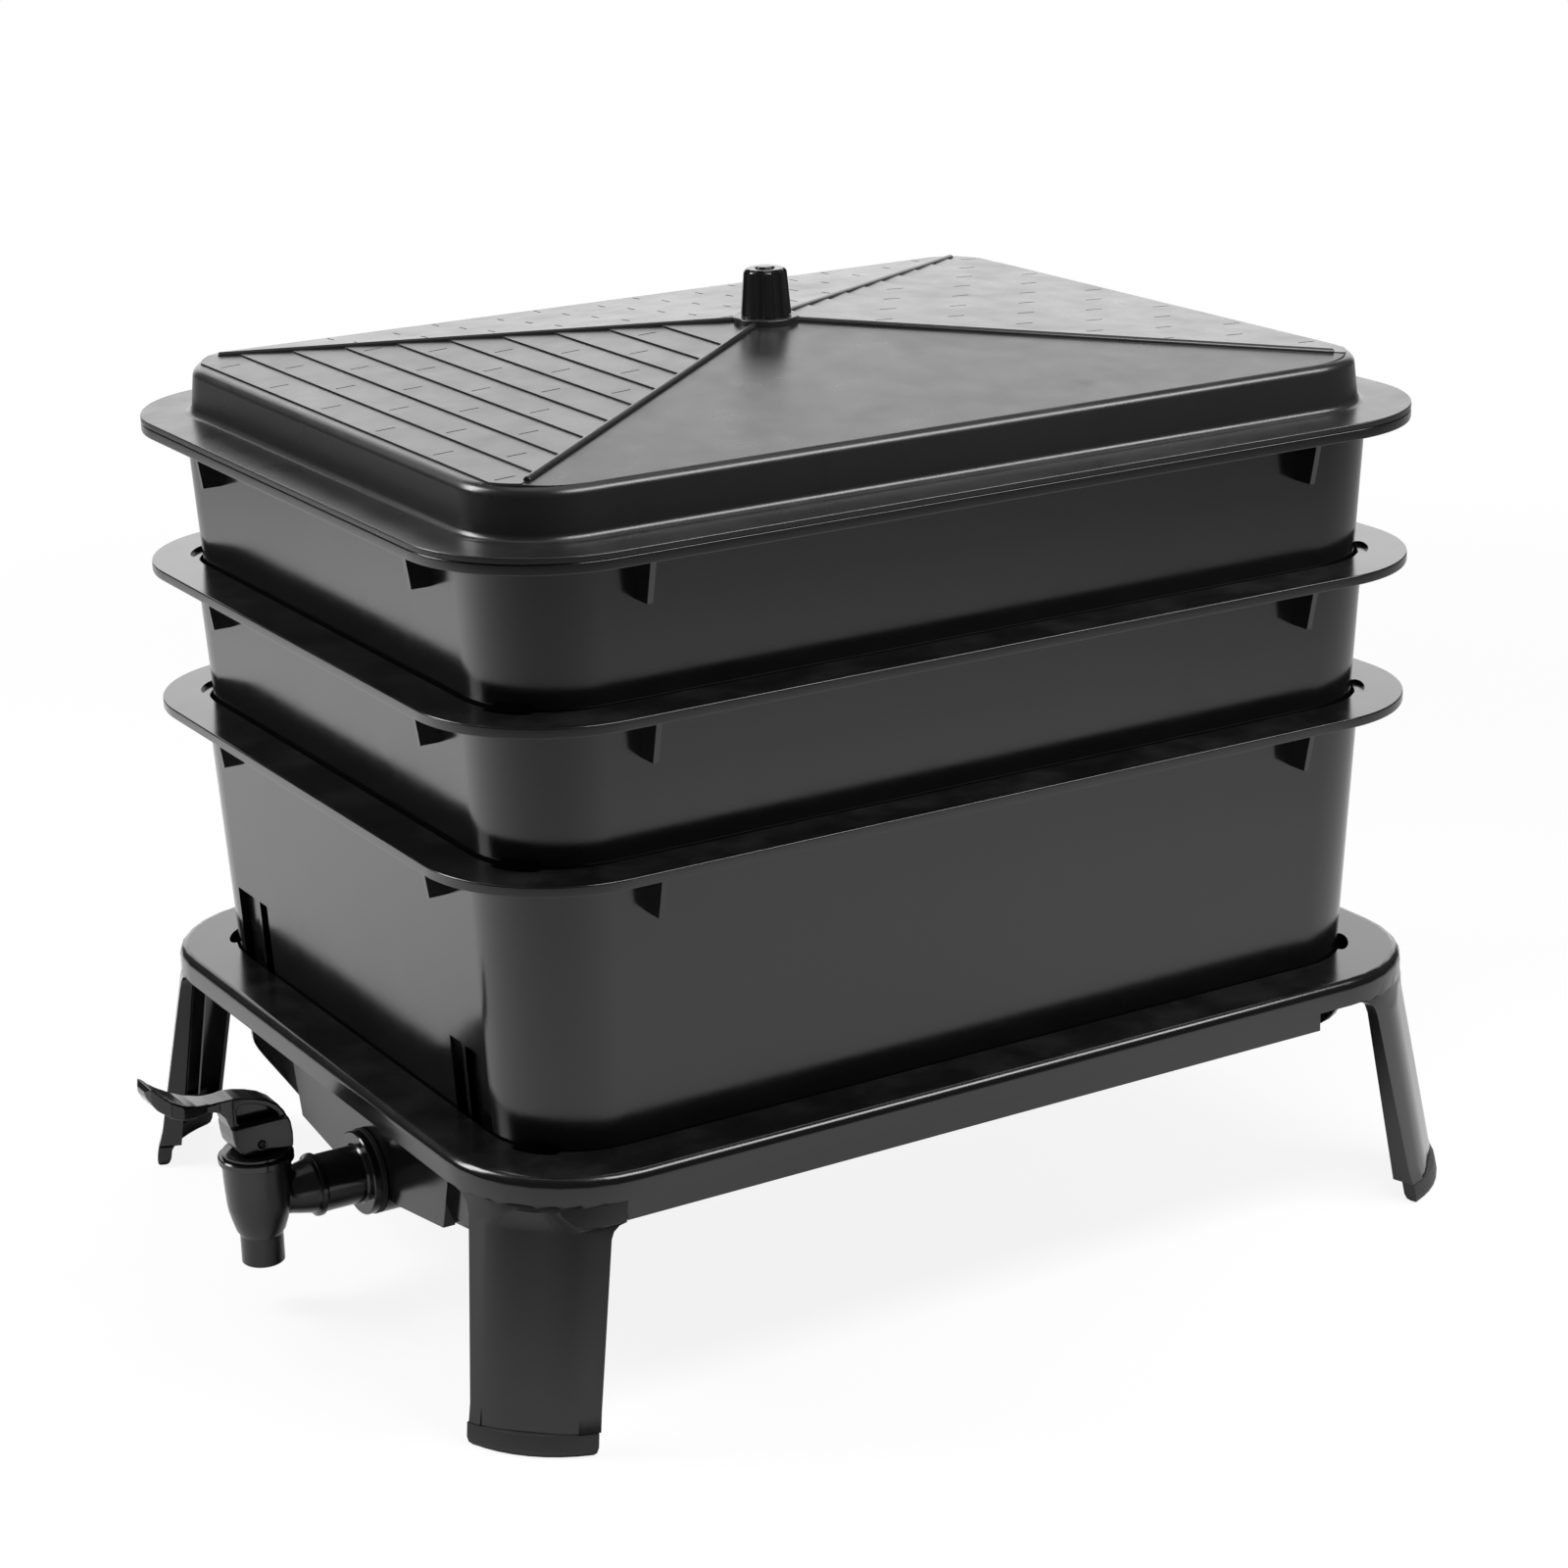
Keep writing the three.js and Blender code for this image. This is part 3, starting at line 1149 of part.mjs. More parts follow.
// Stem, seal and spring
const sealTop = SEAT_HEIGHT + SEAT_GAP + SEAL_THICKNESS;
const stemFoot = sealTop + SEAT_GAP;
const stemFootTop = stemFoot + STEM_FOOT_HEIGHT;
const tongueFoot = bonnetTop + SEAT_GAP;
const tongueTop = tongueFoot + STEM_TONGUE_HEIGHT;
const pinHeight = tongueFoot + PIN_RISE;
const pinX = stemX;

place('tap_seal', turned([
  [0, SEAT_HEIGHT + SEAT_GAP],
  [SEAL_RADIUS, SEAT_HEIGHT + SEAT_GAP],
  [SEAL_RADIUS, sealTop],
  [0, sealTop],
], stemX, 0), sealRubber);

function tapStem() {
  const shaft = turned([
    [0, stemFoot],
    [STEM_FOOT_RADIUS, stemFoot],
    [STEM_FOOT_RADIUS, stemFootTop],
    [STEM_RADIUS, stemFootTop],
    [STEM_RADIUS, tongueFoot + SEAT_GAP],
    [0, tongueFoot + SEAT_GAP],
  ], stemX, 0, SMALL_STEPS);
  const tongue = box(
    stemX - STEM_TONGUE_AHEAD,
    stemX + STEM_TONGUE_BEHIND,
    -STEM_TONGUE_WIDTH / 2,
    STEM_TONGUE_WIDTH / 2,
    tongueFoot,
    tongueTop,
  );
  const slotHalf = PIN_RADIUS + SLIDE_GAP;
  const slot = box(
    pinX - slotHalf - PIN_TRAVEL,
    pinX + slotHalf,
    -STEM_TONGUE_WIDTH,
    STEM_TONGUE_WIDTH,
    pinHeight - slotHalf,
    pinHeight + slotHalf,
  );
  return cutBy(joined(shaft, tongue), slot);
}

place('tap_stem', tapStem(), tapPlastic);

// A round-wire coil between the stem's foot and the roof of the bonnet's pocket
class CoilCurve extends THREE.Curve {
  constructor(low, high) {
    super();
    this.low = low;
    this.high = high;
  }

  getPoint(share, target = new THREE.Vector3()) {
    const angle = 2 * Math.PI * SPRING_TURNS * share;
    return target.set(
      stemX + SPRING_RADIUS * Math.cos(angle),
      SPRING_RADIUS * Math.sin(angle),
      this.low + (this.high - this.low) * share,
    );
  }
}

const coilReach = SEAT_GAP + SPRING_WIRE;
const wireSection = new THREE.Shape().absarc(0, 0, SPRING_WIRE, 0, 2 * Math.PI, false);
place('tap_spring', solid(new THREE.ExtrudeGeometry(wireSection, {
  curveSegments: 3,
  steps: SPRING_TURNS * 10,
  bevelEnabled: false,
  extrudePath: new CoilCurve(stemFootTop + coilReach, pocketTop - coilReach),
})), springSteel);

// Lever: a yoke with two cheeks on the bonnet, whose front edge is the fulcrum, and a strap that rises from its
// back over a thin web and runs out into a paddle. Pressing the paddle lifts the stem by its pin.
const fulcrumX = stemX - FULCRUM_REACH;
const leverFoot = bonnetTop + SEAT_GAP;

function lever() {
  const along = (share) => fulcrumX - (share < 0 ? LEVER_BACK_REACH : LEVER_LENGTH) * share;
  const outline = (shares) => shares.map(([share, rise]) => new THREE.Vector2(
    along(share),
    leverFoot + LEVER_HEIGHT * rise,
  ));
  const slab = (points, half) => {
    const geometry = new THREE.ExtrudeGeometry(new THREE.Shape(points), { depth: 2 * half, bevelEnabled: false });
    geometry.translate(0, 0, -half);
    geometry.rotateX(Math.PI / 2);
    return solid(geometry);
  };
  const profile = outline(LEVER_PROFILE_SHARES);
  const right = LEVER_PLAN_SHARES.map(([share, width]) => [along(share), PADDLE_HALF_WIDTH * width]);
  const left = right.map(([x, y]) => [x, -y]).reverse();
  const plan = new THREE.ExtrudeGeometry(
    new THREE.Shape([...right, ...left].map(([x, y]) => new THREE.Vector2(x, y))),
    { depth: LEVER_HEIGHT + 2 * OVERRUN, bevelEnabled: false },
  );
  plan.translate(0, 0, leverFoot - OVERRUN);
  const strap = slab(profile, PADDLE_HALF_WIDTH).intersect(solid(plan));
  const back = along(-1);
  const front = along(1);
  const cheeks = slab(profile, LEVER_CHEEK_HALF_WIDTH).intersect(box(
    front,
    back,
    -LEVER_CHEEK_HALF_WIDTH,
    LEVER_CHEEK_HALF_WIDTH,
    leverFoot,
    leverFoot + LEVER_CHEEK_HEIGHT,
  ));
  const pocket = box(
    fulcrumX - LEVER_POCKET_WALL / 2,
    back - LEVER_POCKET_WALL,
    -LEVER_POCKET_HALF_WIDTH,
    LEVER_POCKET_HALF_WIDTH,
    leverFoot - OVERRUN,
    leverFoot + LEVER_CHEEK_HEIGHT + OVERRUN,
  );
  const web = slab(profile, LEVER_WEB_HALF_WIDTH).intersect(box(
    front,
    back,
    -LEVER_WEB_HALF_WIDTH,
    LEVER_WEB_HALF_WIDTH,
    leverFoot + LEVER_CHEEK_HEIGHT,
    leverFoot + LEVER_HEIGHT,
  ));
  return joined(cutBy(
    joined(strap, cheeks),
    slab(outline(LEVER_WINDOW_SHARES), PADDLE_HALF_WIDTH),
    pocket,
    pinBody(PIN_RADIUS + SLIDE_GAP, PADDLE_HALF_WIDTH),
  ), web);
}

function pinBody(radius, halfLength) {
  const geometry = new THREE.CylinderGeometry(radius, radius, 2 * halfLength, SMALL_STEPS);
  geometry.translate(pinX, 0, 0);
  geometry.translate(0, 0, pinHeight);
  return solid(geometry);
}

place('tap_lever', lever(), tapPlastic);
place('lever_pin', pinBody(PIN_RADIUS, LEVER_CHEEK_HALF_WIDTH - SEAT_GAP), springSteel);

// The origin lies on the floor under the middle of the whole object
const extent = new THREE.Box3().setFromObject(wormery);
wormery.position.x = -(extent.min.x + extent.max.x) / 2;
wormery.updateMatrixWorld(true);

export default wormery;
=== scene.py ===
import math

import bmesh
import bpy
from mathutils import Matrix, Vector


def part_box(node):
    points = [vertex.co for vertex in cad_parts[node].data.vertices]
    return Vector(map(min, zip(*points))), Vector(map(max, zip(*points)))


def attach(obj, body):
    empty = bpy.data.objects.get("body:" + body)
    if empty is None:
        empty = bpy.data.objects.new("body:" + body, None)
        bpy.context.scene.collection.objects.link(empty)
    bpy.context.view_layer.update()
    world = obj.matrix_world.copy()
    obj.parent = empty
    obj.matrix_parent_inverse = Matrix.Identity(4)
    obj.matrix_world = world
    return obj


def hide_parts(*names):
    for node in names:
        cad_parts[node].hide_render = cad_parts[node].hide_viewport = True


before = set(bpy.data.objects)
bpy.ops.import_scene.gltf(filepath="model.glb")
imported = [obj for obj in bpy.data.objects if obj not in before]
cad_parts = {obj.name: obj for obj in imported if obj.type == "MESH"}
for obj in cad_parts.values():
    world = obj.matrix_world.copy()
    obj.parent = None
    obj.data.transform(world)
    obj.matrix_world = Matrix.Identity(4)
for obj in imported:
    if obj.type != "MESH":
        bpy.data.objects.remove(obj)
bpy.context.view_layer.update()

# The stand is one deep injection moulding in black polypropylene, left satin by the mould: a rim with a
# rounded edge and a short skirt, four splayed and fluted legs, side aprons, and a collector basin whose
# floor falls in flat facets to the sump behind the tap.
MM = 0.001
SMOOTH_ANGLE = math.radians(32)
FLAT_ANGLE = math.radians(0.4)
DOUBLES_REACH = 0.002 * MM
NOISE_ROUGHNESS = 0.55
CLOUDS_A_METRE = 7.0
PIGMENT_SHARES = (0.86, 1.16)
CLOUD_ROUGHNESS = 0.07
FLOW_A_METRE = 60.0
FLOW_STRETCH = (1, 1, 0.06)
FLOW_ROUGHNESS = 0.08
RUBS_A_METRE = 22.0
RUB_RANGE = (0.62, 0.78)
RUB_ROUGHNESS = 0.05
DUST_A_METRE = 35.0
DUST_RANGE = (0.35, 0.8)
DUST_SLOPE_RANGE = (0.5, 1.0)
DUST_COLOUR = (0.2, 0.19, 0.18, 1.0)
DUST_SHARE = 0.05
DUST_ROUGHNESS = 0.05
GRAINS_A_METRE = 900.0
WAVES_A_METRE = 14.0
STAND_SHADE = (0.0040, 0.0040, 0.0042)
STAND_ROUGHNESS = 0.17
STAND_GRAIN = 0.012 * MM
STAND_WAVE = 0.12 * MM


def let_go():
    """Leaves edit mode and lets go of every object."""
    if bpy.context.mode != "OBJECT":
        bpy.ops.object.mode_set(mode="OBJECT")
    bpy.ops.object.select_all(action="DESELECT")


def take(piece, *others):
    """Selects the piece, and others with it, and makes it the one that is worked on."""
    let_go()
    for taken in (piece, *others):
        taken.select_set(True)
    bpy.context.view_layer.objects.active = piece


def edit(piece):
    """Opens the piece in edit mode."""
    take(piece)
    bpy.ops.object.mode_set(mode="EDIT")


def pick(piece, kind, test):
    """Selects those faces or edges of the piece being edited that pass the test."""
    bpy.ops.mesh.select_mode(type=kind)
    bpy.ops.mesh.select_all(action="DESELECT")
    mesh = bmesh.from_edit_mesh(piece.data)
    for part in mesh.faces if kind == "FACE" else mesh.edges:
        if test(part):
            part.select_set(True)
    bmesh.update_edit_mesh(piece.data)


def shade(piece):
    """Shades the piece smooth up to an angle, with its broad faces left flat."""
    take(piece)
    bpy.ops.object.shade_smooth_by_angle(angle=SMOOTH_ANGLE)
    weight = piece.modifiers.new("broad_faces", "WEIGHTED_NORMAL")
    weight.keep_sharp = True
    bpy.ops.object.modifier_apply(modifier=weight.name)
    let_go()


def round_off(piece, width, angle=SMOOTH_ANGLE):
    """Rounds every edge of the piece that is sharper than the angle, as far as its neighbours leave room."""
    take(piece)
    rounding = piece.modifiers.new("edges", "BEVEL")
    rounding.width = width
    rounding.segments = 2
    rounding.limit_method = "ANGLE"
    rounding.angle_limit = angle
    rounding.use_clamp_overlap = True
    bpy.ops.object.modifier_apply(modifier=rounding.name)
    let_go()


def cast_of(node, name):
    """A moulding with the CAD node's form, its loose triangles joined to one skin of flat faces."""
    piece = bpy.data.objects.new(name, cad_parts[node].data.copy())
    bpy.context.collection.objects.link(piece)
    piece.data.materials.clear()
    edit(piece)
    bpy.ops.mesh.customdata_custom_splitnormals_clear()
    bpy.ops.mesh.select_all(action="SELECT")
    bpy.ops.mesh.remove_doubles(threshold=DOUBLES_REACH)
    bpy.ops.mesh.dissolve_limited(angle_limit=FLAT_ANGLE)
    let_go()
    return piece


class Signal:
    """A value on its way through a material, which can be used in sums and products."""

    def __init__(self, finish, socket):
        self.finish = finish
        self.socket = socket

    def combined(self, operation, first, second):
        return self.finish.node("ShaderNodeMath", {"operation": operation}, {0: first, 1: second})

    def __add__(self, other):
        return self.combined("ADD", self, other)

    def __radd__(self, other):
        return self.combined("ADD", other, self)

    def __sub__(self, other):
        return self.combined("SUBTRACT", self, other)

    def __mul__(self, other):
        return self.combined("MULTIPLY", self, other)


class Finish:
    """The surface of one kind of piece, built up from nodes round one shader."""

    def __init__(self, name):
        self.material = bpy.data.materials.new(name)
        self.material.use_nodes = True
        self.tree = self.material.node_tree
        self.shader = self.tree.nodes["Principled BSDF"]
        self.place = self.node("ShaderNodeTexCoord", output="Object")

    def node(self, kind, settings=None, inputs=None, output=0):
        """Adds a node with its settings, its values or links, and gives one of its outputs."""
        made = self.tree.nodes.new(kind)
        for key, value in (settings or {}).items():
            setattr(made, key, value)
        for key, value in (inputs or {}).items():
            self.join(made.inputs[key], value)
        return Signal(self, made.outputs[output])

    def join(self, socket, value):
        if isinstance(value, Signal):
            self.tree.links.new(value.socket, socket)
        else:
            socket.default_value = value

    def noise(self, scale, detail=2.0, stretch=(1, 1, 1)):
        """A cloudy value from 0 to 1, with so many clouds a metre, stretched along an axis."""
        place = self.node("ShaderNodeMapping", inputs={"Vector": self.place, "Scale": stretch})
        return self.node(
            "ShaderNodeTexNoise",
            inputs={"Vector": place, "Scale": scale, "Detail": detail, "Roughness": NOISE_ROUGHNESS},
        )

    def blend(self, share, low, high):
        """Low where the share is 0 and high where it is 1, both colours."""
        return self.node(
            "ShaderNodeMix",
            {"data_type": "RGBA"},
            {"Factor": share, 6: low, 7: high},
            output=2,
        )

    def between(self, value, low, high):
        """0 below low, 1 above high, and smooth in between."""
        return self.node(
            "ShaderNodeMapRange",
            {"interpolation_type": "SMOOTHSTEP"},
            {"Value": value, "From Min": low, "From Max": high},
        )

    def surface(self, **sockets):
        for key, value in sockets.items():
            self.join(self.shader.inputs[key.replace("_", " ")], value)

    def relief(self, height):
        """Raises the surface by a height in metres."""
        raised = self.node("ShaderNodeBump", inputs={"Strength": 1.0, "Distance": 1.0, "Height": height})
        self.join(self.shader.inputs["Normal"], raised)


def rgba(colour, times):
    return (*[channel * times for channel in colour], 1.0)


def moulded_plastic(name, colour, roughness, grain, wave):
    """Black plastic as it leaves the mould: fine grain, slow waves, flow streaks, rubs and a little dust."""
    finish = Finish(name)
    clouds = finish.noise(CLOUDS_A_METRE)
    flow = finish.noise(FLOW_A_METRE, stretch=FLOW_STRETCH)
    rubs = finish.between(finish.noise(RUBS_A_METRE, 6.0), *RUB_RANGE)
    facing = finish.node("ShaderNodeNewGeometry", output="Normal")
    upward = finish.node("ShaderNodeSeparateXYZ", inputs={0: facing}, output=2)
    settled = finish.between(upward, *DUST_SLOPE_RANGE)
    dust = settled * finish.between(finish.noise(DUST_A_METRE, 5.0), *DUST_RANGE)
    pigment = finish.blend(clouds, *[rgba(colour, share) for share in PIGMENT_SHARES])
    uneven = (clouds - 0.5) * CLOUD_ROUGHNESS + (flow - 0.5) * FLOW_ROUGHNESS
    finish.surface(
        Base_Color=finish.blend(dust * DUST_SHARE, pigment, DUST_COLOUR),
        Roughness=roughness + uneven + rubs * RUB_ROUGHNESS + dust * DUST_ROUGHNESS,
    )
    finish.relief(finish.noise(GRAINS_A_METRE, 3.0) * grain + finish.noise(WAVES_A_METRE, 1.0) * wave)
    return finish.material


def dress(piece, material, slot, body, *nodes):
    """Gives the piece its material and its body, and hides the CAD nodes it stands for. The slot is not used.
    """
    piece.data.materials.clear()
    piece.data.materials.append(material)
    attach(piece, body)
    if nodes:
        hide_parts(*nodes)


stand_plastic = moulded_plastic("stand_plastic", STAND_SHADE, STAND_ROUGHNESS, STAND_GRAIN, STAND_WAVE)
stand = cast_of("stand", "stand_moulding")
shade(stand)
dress(stand, stand_plastic, "stand_plastic", "base", "stand")

# The four feet are matt black push-on shoes of a softer plastic. Each wraps the foot of a leg's outer wall
# and is held by a tongue that stands up behind that wall.
FOOT_SHADE = (0.0085, 0.0085, 0.0088)
FOOT_ROUGHNESS = 0.55
FOOT_GRAIN = 0.03 * MM
FOOT_WAVE = 0.1 * MM
FOOT_EDGE = 0.7 * MM

foot_plastic = moulded_plastic("foot_plastic", FOOT_SHADE, FOOT_ROUGHNESS, FOOT_GRAIN, FOOT_WAVE)
for corner in ("front_left", "front_right", "back_left", "back_right"):
    shoe = cast_of("foot_" + corner, "shoe_" + corner)
    round_off(shoe, FOOT_EDGE)
    shade(shoe)
    dress(shoe, foot_plastic, "seal_rubber", "base", "foot_" + corner)

# The three trays are the same moulding in satin black polypropylene: a tapered tub with drain holes in its
# floor, a flat flange with a turned-down lip, stiffening plates under the flange, recesses low in the short
# walls, and ribs inside on which the next tray's floor rests.
TRAY_SHADE = (0.0035, 0.0035, 0.0037)
TRAY_ROUGHNESS = 0.16
TRAY_GRAIN = 0.010 * MM
TRAY_WAVE = 0.12 * MM
TRAY_DEPTH = 158 * MM
FLANGE_HALF = (280 * MM, 222 * MM)
FLANGE_RADIUS = 71 * MM
FLANGE_THICKNESS = 3 * MM
LIP_DROP = 2.2 * MM
LIP_WALL = 2.4 * MM
LEDGE = 22.5 * MM
TUB_TOP_HALF_Y = 199 * MM
TUB_FOOT_HALF = (249.6 * MM, 193.312 * MM)
TUB_WALL = 2 * MM
TUB_FLOOR = 3 * MM
TUB_OUTER_ROUNDING = 3 * MM
TUB_INNER_ROUNDING = 2 * MM
FLANGE_FILLET = 1.5 * MM
STACK_LEVEL = 74.7 * MM
TRAY_EDGE = 0.7 * MM
CORNER_STEPS = 20
END_PLATES = (122 * MM, 12 * MM, 9.5 * MM)
SIDE_PLATES = (189 * MM, 17 * MM, 12 * MM)
PLATE_DROP = 27.2 * MM
PLATE_THICKNESS = 3 * MM
STACK_REACH = 9 * MM
RECESS_PLACE = 128 * MM
RECESS_WIDTH = 38 * MM
RECESS_HEIGHT = 54 * MM
RECESS_DEPTH = 4 * MM
RECESS_RIB_SINK = 0.6 * MM
HOLE = 12 * MM
HOLE_PITCH = 44 * MM
HOLE_MARGIN = 34 * MM
NOTCH_HALF = (4.5 * MM, 12.5 * MM)
NOTCH_ANGLE = math.radians(36)
NOTCH_FLOOR = 1 * MM
NOTCH_STEPS = 48
MOUTH_RADIUS = 45 * MM
CUT_OVERRUN = 22.5 * MM
LEVEL_REACH = 1e-5
LEVEL_SHARE = 0.9
SLIVER_REACH = 0.001 * MM
SPLIT_ANGLE = math.radians(0.1)
CORNERS = ((1, 1), (-1, 1), (-1, -1), (1, -1))


def block(name, low, high):
    """A block between two corners, open in edit mode."""
    let_go()
    middle = [(a + b) / 2 for a, b in zip(low, high)]
    bpy.ops.mesh.primitive_cube_add(size=1, location=middle)
    piece = bpy.context.object
    piece.name = name
    piece.scale = [b - a for a, b in zip(low, high)]
    bpy.ops.object.transform_apply(location=True, rotation=True, scale=True)
    edit(piece)
    return piece


def level_edge(height):
    """A test for edges that lie level at a height."""
    return lambda edge: all(abs(end.co.z - height) < LEVEL_REACH for end in edge.verts)


def faces_at(height, side):
    """A test for level faces at a height that face up (1) or down (-1)."""
    return lambda face: (face.normal.z * side > LEVEL_SHARE
                         and abs(face.calc_center_median().z - height) < LEVEL_REACH)


def depth_in(point, half, radius):
    """How far a point lies inside the outline of a rounded slab."""
    across = [abs(point[axis]) - half[axis] + radius for axis in (0, 1)]
    beyond = math.hypot(max(across[0], 0), max(across[1], 0))
    return radius - beyond - min(max(across), 0)


def flange_depth(edge):
    """How far an edge starts inside the outline that the flanges and the lid's brim share."""
    return depth_in(edge.verts[0].co, FLANGE_HALF, FLANGE_RADIUS)


def rounded_slab(name, half, low, high, radius):
    """A slab with rounded corners about the middle, open in edit mode."""
    piece = block(name, (-half[0], -half[1], low), (half[0], half[1], high))
    pick(piece, "EDGE", lambda edge: abs(edge.verts[0].co.z - edge.verts[1].co.z) > (high - low) / 2)
    bpy.ops.mesh.bevel(offset=radius, segments=CORNER_STEPS, affect="EDGES")
    return piece


def draw_out(drop, scale=(1, 1)):
    """Extrudes the selected faces up or down, and scales their far end about the middle."""
    bpy.ops.mesh.extrude_region_move(TRANSFORM_OT_translate={"value": (0, 0, drop)})
    bpy.ops.transform.resize(value=(*scale, 1), center_override=(0, 0, 0))


def round_edges(piece, test, width, segments=3):
    """Rounds the edges of the piece being edited that pass the test, and leaves those on flat faces alone."""
    pick(piece, "EDGE", lambda edge: test(edge) and edge.calc_face_angle(0) > SMOOTH_ANGLE)
    bpy.ops.mesh.bevel(offset=width, segments=segments, affect="EDGES")


def merge_with(piece, others, operation="UNION"):
    """Joins other solids to the piece, cuts them out of it, or keeps what it shares with them."""
    take(others[0], *others[1:])
    if len(others) > 1:
        bpy.ops.object.join()
    tool = bpy.context.object
    take(piece)
    joint = piece.modifiers.new("solids", "BOOLEAN")
    joint.operation = operation
    joint.solver = "MANIFOLD"
    joint.object = tool
    bpy.ops.object.modifier_apply(modifier=joint.name)
    bpy.data.objects.remove(tool)
    let_go()


def clear_slivers(piece):
    """Dissolves the faces without area that cutting has left, and joins those that it has split."""
    edit(piece)
    bpy.ops.mesh.select_all(action="SELECT")
    bpy.ops.mesh.dissolve_degenerate(threshold=SLIVER_REACH)
    bpy.ops.mesh.select_all(action="SELECT")
    bpy.ops.mesh.dissolve_limited(angle_limit=SPLIT_ANGLE)
    let_go()


def wire_through(points, along):
    """A wire through (across, height) points in an upright plane, open in edit mode."""
    let_go()
    bpy.ops.mesh.primitive_plane_add(size=MM)
    wire = bpy.context.object
    edit(wire)
    bpy.ops.mesh.select_mode(type="VERT")
    bpy.ops.mesh.select_all(action="SELECT")
    bpy.ops.mesh.merge(type="CENTER")
    bpy.ops.transform.translate(value=(points[0][0], along, points[0][1]))
    for before, after in zip(points, points[1:]):
        step = (after[0] - before[0], 0, after[1] - before[1])
        bpy.ops.mesh.extrude_region_move(TRANSFORM_OT_translate={"value": step})
    bpy.ops.mesh.select_all(action="SELECT")
    return wire


def upright_plate(turn, along, thickness, outline):
    """A plate that stands out from the side that turn faces, through (across, height) points."""
    plate = wire_through(outline, along - thickness / 2)
    bpy.ops.mesh.edge_face_add()
    bpy.ops.mesh.extrude_region_move(TRANSFORM_OT_translate={"value": (0, thickness, 0)})
    bpy.ops.mesh.select_all(action="SELECT")
    bpy.ops.mesh.normals_make_consistent(inside=False)
    let_go()
    plate.rotation_euler = (0, 0, turn)
    take(plate)
    bpy.ops.object.transform_apply(location=True, rotation=True, scale=True)
    return plate


def settle(piece, x, z):
    """Moves the finished piece to its place, and leaves that place in its mesh."""
    take(piece)
    piece.location = (x, 0, z)
    bpy.ops.object.transform_apply(location=True, rotation=True, scale=True)
    let_go()


def wall_half(level, side):
    """Half the tub's size at a level, across its length (0) or its width (1)."""
    top = (FLANGE_HALF[0] - LEDGE, TUB_TOP_HALF_Y)[side]
    return TUB_FOOT_HALF[side] + (top - TUB_FOOT_HALF[side]) * level / TRAY_DEPTH


def tray_moulding():
    """The tub with its flange and lip, drawn from a slab down to the floor and hollowed from above."""
    plate_foot = TRAY_DEPTH - FLANGE_THICKNESS
    tray = rounded_slab("tray", FLANGE_HALF, plate_foot, TRAY_DEPTH, FLANGE_RADIUS)
    shrink = [TUB_FOOT_HALF[side] / wall_half(TRAY_DEPTH, side) for side in (0, 1)]
    pick(tray, "FACE", faces_at(plate_foot, -1))
    bpy.ops.mesh.inset(thickness=LIP_WALL)
    bpy.ops.mesh.inset(thickness=LEDGE - LIP_WALL)
    fit = TUB_TOP_HALF_Y / (FLANGE_HALF[1] - LEDGE)
    bpy.ops.transform.resize(value=(1, fit, 1), center_override=(0, 0, 0))
    draw_out(-plate_foot, shrink)
    pick(tray, "FACE", lambda face: faces_at(plate_foot, -1)(face)
         and depth_in(face.calc_center_median(), FLANGE_HALF, FLANGE_RADIUS) < LIP_WALL)
    draw_out(-LIP_DROP)
    pick(tray, "FACE", faces_at(TRAY_DEPTH, 1))
    bpy.ops.mesh.inset(thickness=LEDGE + TUB_WALL)
    bpy.ops.transform.resize(value=(1, fit, 1), center_override=(0, 0, 0))
    draw_out(TUB_FLOOR - TRAY_DEPTH, shrink)
    round_edges(tray, level_edge(0), TUB_OUTER_ROUNDING)
    round_edges(tray, level_edge(TUB_FLOOR), TUB_INNER_ROUNDING)
    round_edges(tray, level_edge(TRAY_DEPTH), TRAY_EDGE)
    round_edges(tray, level_edge(plate_foot - LIP_DROP), TRAY_EDGE, 2)
    round_edges(
        tray, lambda edge: level_edge(plate_foot)(edge) and flange_depth(edge) > LEDGE / 2, FLANGE_FILLET)
    let_go()
    return tray


def tray_plates():
    """The plates under the flange and the ribs inside."""
    plates = []
    foot = TRAY_DEPTH - PLATE_DROP
    top = TRAY_DEPTH - FLANGE_THICKNESS / 2
    for quarter in range(4):
        side = quarter % 2
        place, reach, foot_reach = SIDE_PLATES if side else END_PLATES
        turn = quarter * math.pi / 2
        for along in (-place, place):
            plates.append(upright_plate(turn, along, PLATE_THICKNESS, [
                (wall_half(foot, side) - TUB_WALL / 2, foot),
                (wall_half(foot, side) + foot_reach, foot),
                (wall_half(top, side) + reach, top),
                (wall_half(top, side) - TUB_WALL / 2, top),
            ]))
            inner = wall_half(STACK_LEVEL, side) - TUB_WALL - STACK_REACH
            plates.append(upright_plate(turn, along, PLATE_THICKNESS, [
                (inner, TUB_FLOOR / 2),
                (wall_half(0, side) - TUB_WALL / 2, TUB_FLOOR / 2),
                (wall_half(STACK_LEVEL, side) - TUB_WALL / 2, STACK_LEVEL),
                (inner, STACK_LEVEL),
            ]))
    return plates


